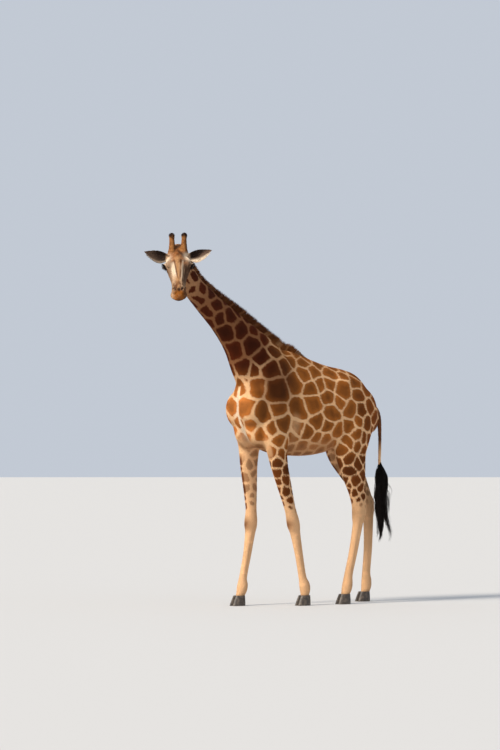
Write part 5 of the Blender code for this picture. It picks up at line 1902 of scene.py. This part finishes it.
def hoof_material():
    """Return the hooves' dark horn with fine rings and patches of dust."""
    made, tree, shader = new_material("hoof", {"Roughness": 0.5})
    place = object_place(tree)
    rings = node(tree, "TexWave", {"Scale": 26.0, "Distortion": 1.6, "Vector": place},
                 bands_direction="Z").outputs["Fac"]
    horn = node(tree, "ValToRGB", {"Fac": rings})
    for stop, tone in zip(horn.color_ramp.elements, HOOF_COLOURS):
        stop.color = (*tone, 1)
    dust = node(tree, "TexNoise", {"Scale": 34.0, "Vector": place})
    dusty = node(tree, "Mix", {6: horn.outputs["Color"], 7: (*DUST_COLOUR, 1)}, data_type="RGBA")
    amount = node(tree, "MapRange", {"From Min": 0.45, "From Max": 0.80,
                                     "Value": dust.outputs["Fac"]})
    feed(tree, dusty, {"Factor": amount.outputs[0]})
    bump = node(tree, "Bump", {"Strength": 0.4, "Distance": 0.001, "Height": rings})
    feed(tree, shader, {"Base Color": dusty.outputs[2], "Normal": bump.outputs["Normal"]})
    return made


def build_hooves():
    """Build four cloven hooves with growth rings, flat on the floor."""
    form = bmesh.new()
    profile = curve(HOOF_FORM, 7)
    for joints in (*FORE_JOINTS.values(), *HIND_JOINTS.values()):
        coronet = Vector(joints[4])
        for inner in (1, -1):
            rings = []
            for part, wide, long in profile:
                groove = 1 - 0.012 * (0.5 + 0.5 * math.sin(part * 46)) * min(part * 8, 1)
                rings.append(toe_ring(coronet, part, wide * groove, long * groove, inner))
            add_loft(form, rings)
    form.transform(Matrix.Translation(SHIFT))
    bmesh.ops.triangulate(form, faces=form.faces[:])
    mesh = to_mesh("hooves", form)
    mesh.shade_smooth()
    mesh.set_sharp_from_angle(angle=math.radians(50))
    show_piece(mesh, "hooves", ["hoof_%s_%s" % leg for leg in LEGS], hoof_material())


def build_ear_hair():
    """Grow the pale fringe inside and along the lower edge of both ears."""
    rng = np.random.default_rng(SEEDS["ears"])
    paths, colours, shades, places = [], [], [], []
    steps = np.linspace(0, 1, 5)
    given = palette()
    for side, _ in SIDES:
        _, out, up, front = (np.array(v) for v in ear_frame(side))
        for _ in range(EAR_HAIRS):
            along = rng.uniform(0.08, 0.90)
            edge = rng.uniform(0, 1) < 0.80
            across = rng.uniform(-1.0, -0.86) if edge else rng.uniform(-0.85, 0.95)
            point = np.array(ear_point(side, along, across, 0.001 if edge else 0.004))
            if edge:
                fan = unit(out * 0.55 - up * 0.75 + front * 0.25 + rng.normal(0, 0.14, 3))
                # painted shade: the right ear's pale fringe is painted dimmer
                tone = given["pale"] * (1.0 if side > 0 else 0.35)
            else:
                fan = unit(out * 0.9 + front * 0.25 + rng.normal(0, 0.20, 3))
                tone = given["ear"] if across < 0.1 else given["dark"]
            length = EAR_HAIR_LENGTH * rng.uniform(0.6, 1.2) * (1 - (0.4 if edge else 0.5) * along)
            paths.append(point + fan * length * steps[:, None])
            colours.append(tone)
            shades.append(rng.normal(0, 0.1))
            places.append((0.25 + 0.25 * side + 0.48 * along, 0.5 + 0.48 * across))
    paths, colours = np.array(paths), np.array(colours)
    radii = np.repeat(EAR_HAIR_RADII, len(paths), axis=0)
    looks = {"ground": colours, "patch": colours, "shade": np.array(shades)}
    show_strands("ear_hair", (), paths, radii, looks, np.array(places))


# ---- stage -----------------------------------------------------------------------------------
SENSOR_WIDTH = 36.0
FAR_ENOUGH = 500.0                # the camera sees no farther


def build_stage():
    """Add the floor, the soft lights, the pale surroundings and the camera."""
    settings = bpy.context.scene.giraffe_stage
    form = bmesh.new()
    bmesh.ops.create_circle(form, cap_ends=True, segments=96, radius=settings.floor_radius)
    floor = new_object("floor", to_mesh("floor", form))
    made, _, _ = new_material("floor", {"Base Color": (*settings.floor_colour, 1.0),
                                        "Roughness": 0.9})
    floor.data.materials.append(made)
    world = bpy.data.worlds.new("studio")
    world.use_nodes = True
    feed(world.node_tree, world.node_tree.nodes["Background"], {
        "Color": (*settings.backdrop_colour, 1.0), "Strength": settings.backdrop_strength})
    bpy.context.scene.world = world
    lamp = bpy.data.lights.new("key", "SUN")
    lamp.energy = settings.key_strength
    lamp.angle = math.radians(settings.key_softness)
    lamp.color = settings.key_colour
    key = new_object("key", lamp)
    key.rotation_euler = Vector(settings.key_from).to_track_quat("Z", "Y").to_euler()
    view = bpy.data.cameras.new("camera")
    view.lens = settings.lens
    view.sensor_width = SENSOR_WIDTH
    view.clip_end = FAR_ENOUGH
    camera = new_object("camera", view)
    azimuth = math.radians(settings.camera_azimuth)
    camera.location = (settings.camera_distance * math.sin(azimuth) + settings.camera_aside[0],
                       -settings.camera_distance * math.cos(azimuth) + settings.camera_aside[1],
                       settings.camera_height)
    camera.rotation_euler = (math.radians(90 + settings.camera_tilt), 0,
                             azimuth + math.radians(settings.camera_turn))
    bpy.context.scene.camera = camera
    bpy.context.scene.view_settings.view_transform = "Standard"


def colour(name, text, value):
    """Return a colour property."""
    return FloatVectorProperty(name=name, description=text, subtype="COLOR", size=3, min=0.0,
                               max=1.0, default=value)


def number(name, text, value, **more):
    """Return a property that holds a plain number."""
    return FloatProperty(name=name, description=text, default=value, **more)


def length(name, text, value, **more):
    """Return a property that holds a length."""
    return number(name, text, value, subtype="DISTANCE", unit="LENGTH", **more)


class GIRAFFE_PG_colours(bpy.types.PropertyGroup):
    """Colours of the coat."""
    line: colour("Lines", "Ground between the patches of the trunk", (0.82, 0.50, 0.26))
    # also darkens the lines over the shoulder, partly as painted shadow of the neck
    neck_line: colour("Neck lines", "Ground between the neck's patches", (0.245, 0.100, 0.040))
    back_line: colour("Back lines", "Ground along the back", (0.62, 0.33, 0.145))
    leg: colour("Legs", "Plain lower legs", (0.78, 0.46, 0.24))
    belly: colour("Belly", "Underside", (0.43, 0.20, 0.080))
    # also painted wide and bright down the nose's right side as a painted highlight, and dimmed on
    # the right ear as painted shade
    pale: colour("Pale hair", "Breast strip, brow and sides of the nose", (0.80, 0.64, 0.47))
    flank: colour("Flank patches", "Patches of the barrel and rump", (0.315, 0.098, 0.0160))
    haunch: colour("Haunch patches", "Patches of the thigh", (0.215, 0.056, 0.0070))
    # darker partly as painted shadow of the neck
    shoulder: colour("Shoulder patches", "Dark patches of the shoulder", (0.088, 0.0230, 0.0036))
    neck: colour("Neck patches", "Patches of the neck", (0.072, 0.0115, 0.0012))
    breast: colour("Breast patches", "Patches of the breast", (0.44, 0.145, 0.030))
    belly_patch: colour("Belly patches", "Faint patches of the belly", (0.29, 0.100, 0.028))
    leg_patch: colour("Leg patches", "Small patches of the upper legs", (0.145, 0.038, 0.006))
    # brown of the knees, also used as painted shade on the horns' and muzzle's left sides and
    # under the chin
    smudge: colour("Knee smudge", "Brown hair on the knees", (0.16, 0.055, 0.018))
    tail: colour("Tail", "Short hair of the tail", (0.16, 0.055, 0.018))
    # also used as a painted highlight on the muzzle's right side
    face: colour("Face", "Sides of the face", (0.54, 0.345, 0.205))
    forehead: colour("Forehead", "Forehead and middle of the nose", (0.24, 0.080, 0.017))
    # also used, darker, as painted shade on the left side of the nose
    cheek: colour("Cheek", "Grey brown of the cheeks", (0.125, 0.062, 0.035))
    nose: colour("Nose", "Middle of the nose", (0.46, 0.235, 0.100))
    muzzle: colour("Muzzle", "Brown muzzle and lips", (0.32, 0.100, 0.011))
    # also used as painted shade in the nostrils, the ear's hollow and along the mouth
    dark: colour("Dark skin", "Lids, nostrils and the hollow of the ear", (0.009, 0.004, 0.003))
    ear: colour("Ear", "Back of the ear", (0.165, 0.100, 0.068))
    horn: colour("Horn", "Hair on the horns", (0.34, 0.145, 0.045))
    knob: colour("Knob", "Dark hair on the horns' knobs", (0.024, 0.010, 0.006))
    mane: colour("Mane", "Roots of the mane", (0.155, 0.038, 0.008))
    mane_light: colour("Light mane", "Paler bands of the mane", (0.36, 0.140, 0.042))
    mane_tip: colour("Mane tips", "Ends of the mane's hair", (0.046, 0.013, 0.005))
    tail_hair: colour("Tail hair", "Long black hair", (0.010, 0.008, 0.008))
    tail_tip: colour("Tail tips", "Ends of the long hair", (0.020, 0.014, 0.012))


class GIRAFFE_PG_coat(bpy.types.PropertyGroup):
    """Sizes of the coat."""
    coat_depth: length("Coat depth", "How deep the skin lies in the coat", 0.005,
                       min=0.001, max=0.02)
    lock_spacing: length("Lock spacing", "Distance between the locks", 0.0080,
                         min=0.004, max=0.03)
    lock_length: length("Lock length", "Length of a lock on the trunk", 0.0170,
                        min=0.005, max=0.08)
    lock_width: length("Lock width", "Width of a lock on the trunk", 0.0046,
                       min=0.001, max=0.02)
    mane_height: length("Mane height", "Length of the upright mane", 0.106,
                        min=0.01, max=0.15)


class GIRAFFE_PG_stage(bpy.types.PropertyGroup):
    """Floor, lights and camera."""
    floor_radius: length("Floor radius", "Size of the floor", 220.0)
    floor_colour: colour("Floor colour", "Plain pale floor", (0.60, 0.595, 0.585))
    backdrop_colour: colour("Backdrop colour", "Plain pale surroundings", (0.82, 0.89, 1.0))
    backdrop_strength: number("Backdrop strength", "Soft fill light", 0.66, min=0.0)
    key_colour: colour("Key colour", "Colour of the main light", (1.0, 0.91, 0.79))
    key_strength: number("Key strength", "Main light", 4.0, min=0.0)
    key_softness: number("Key softness", "Angle of the main light", 14.0, min=0.0, max=90.0)
    key_from: FloatVectorProperty(name="Key from", description="Direction of the main light",
                                  default=(0.10, -0.80, 0.62), size=3, subtype="DIRECTION")
    camera_azimuth: number("Camera azimuth", "Angle round the animal", 54.0)
    camera_distance: length("Camera distance", "Distance to the animal", 30.0)
    camera_aside: FloatVectorProperty(name="Camera aside", description="Shift of the camera",
                                      default=(-0.168, 0.531), size=2)
    camera_height: length("Camera height", "Height above the floor", 1.5)
    camera_tilt: number("Camera tilt", "Degrees above level", 1.684)
    camera_turn: number("Camera turn", "Degrees off the azimuth", 1.09)
    lens: number("Lens", "Focal length", 138.46, subtype="DISTANCE_CAMERA")


class GIRAFFE_OT_skin(bpy.types.Operator):
    """Build the skin that covers all flesh, with its markings"""
    bl_idname = "giraffe.skin"
    bl_label = "Skin"

    def execute(self, context):
        build_skin()
        return {"FINISHED"}


class GIRAFFE_OT_coat(bpy.types.Operator):
    """Grow the short flat coat over the skin and ears, and the ears' fringe"""
    bl_idname = "giraffe.coat"
    bl_label = "Coat"

    def execute(self, context):
        build_coat()
        build_ear_hair()
        return {"FINISHED"}


class GIRAFFE_OT_mane(bpy.types.Operator):
    """Grow the short upright mane"""
    bl_idname = "giraffe.mane"
    bl_label = "Mane"

    def execute(self, context):
        build_mane()
        return {"FINISHED"}


class GIRAFFE_OT_tail_hair(bpy.types.Operator):
    """Hang the long black hair of the tail"""
    bl_idname = "giraffe.tail_hair"
    bl_label = "Tail hair"

    def execute(self, context):
        build_tail_hair()
        return {"FINISHED"}


class GIRAFFE_OT_eyes(bpy.types.Operator):
    """Set the eyes and their lashes"""
    bl_idname = "giraffe.eyes"
    bl_label = "Eyes"

    def execute(self, context):
        build_eyes()
        build_lashes()
        return {"FINISHED"}


class GIRAFFE_OT_horns(bpy.types.Operator):
    """Build the hair-covered horns"""
    bl_idname = "giraffe.horns"
    bl_label = "Horns"

    def execute(self, context):
        build_horns()
        return {"FINISHED"}


class GIRAFFE_OT_hooves(bpy.types.Operator):
    """Build the cloven hooves"""
    bl_idname = "giraffe.hooves"
    bl_label = "Hooves"

    def execute(self, context):
        build_hooves()
        return {"FINISHED"}


class GIRAFFE_OT_stage(bpy.types.Operator):
    """Set the floor, lights and camera"""
    bl_idname = "giraffe.stage"
    bl_label = "Stage"

    def execute(self, context):
        build_stage()
        return {"FINISHED"}


OPERATORS = (GIRAFFE_OT_skin, GIRAFFE_OT_coat, GIRAFFE_OT_mane, GIRAFFE_OT_tail_hair,
             GIRAFFE_OT_eyes, GIRAFFE_OT_horns, GIRAFFE_OT_hooves, GIRAFFE_OT_stage)


class GIRAFFE_PT_panel(bpy.types.Panel):
    """List the giraffe's pieces in the sidebar"""
    bl_idname = "GIRAFFE_PT_panel"
    bl_label = "Giraffe"
    bl_space_type = "VIEW_3D"
    bl_region_type = "UI"
    bl_category = "Giraffe"

    def draw(self, context):
        for kind in OPERATORS:
            self.layout.operator(kind.bl_idname)
        for group in (context.scene.giraffe_coat, context.scene.giraffe_colours,
                      context.scene.giraffe_stage):
            for key in group.__annotations__:
                self.layout.prop(group, key)


GROUPS = {"giraffe_colours": GIRAFFE_PG_colours, "giraffe_coat": GIRAFFE_PG_coat,
          "giraffe_stage": GIRAFFE_PG_stage}
CLASSES = (*GROUPS.values(), *OPERATORS, GIRAFFE_PT_panel)


def register():
    """Register the classes and hang the settings on the scene."""
    for kind in CLASSES:
        bpy.utils.register_class(kind)
    for name, kind in GROUPS.items():
        setattr(bpy.types.Scene, name, PointerProperty(type=kind))


def unregister():
    """Take the settings and the classes away again."""
    for name in GROUPS:
        delattr(bpy.types.Scene, name)
    for kind in reversed(CLASSES):
        bpy.utils.unregister_class(kind)


def main():
    """Build every piece."""
    register()
    bpy.ops.giraffe.skin()
    bpy.ops.giraffe.coat()
    bpy.ops.giraffe.mane()
    bpy.ops.giraffe.tail_hair()
    bpy.ops.giraffe.eyes()
    bpy.ops.giraffe.horns()
    bpy.ops.giraffe.hooves()
    bpy.ops.giraffe.stage()


if __name__ == "__main__":
    main()
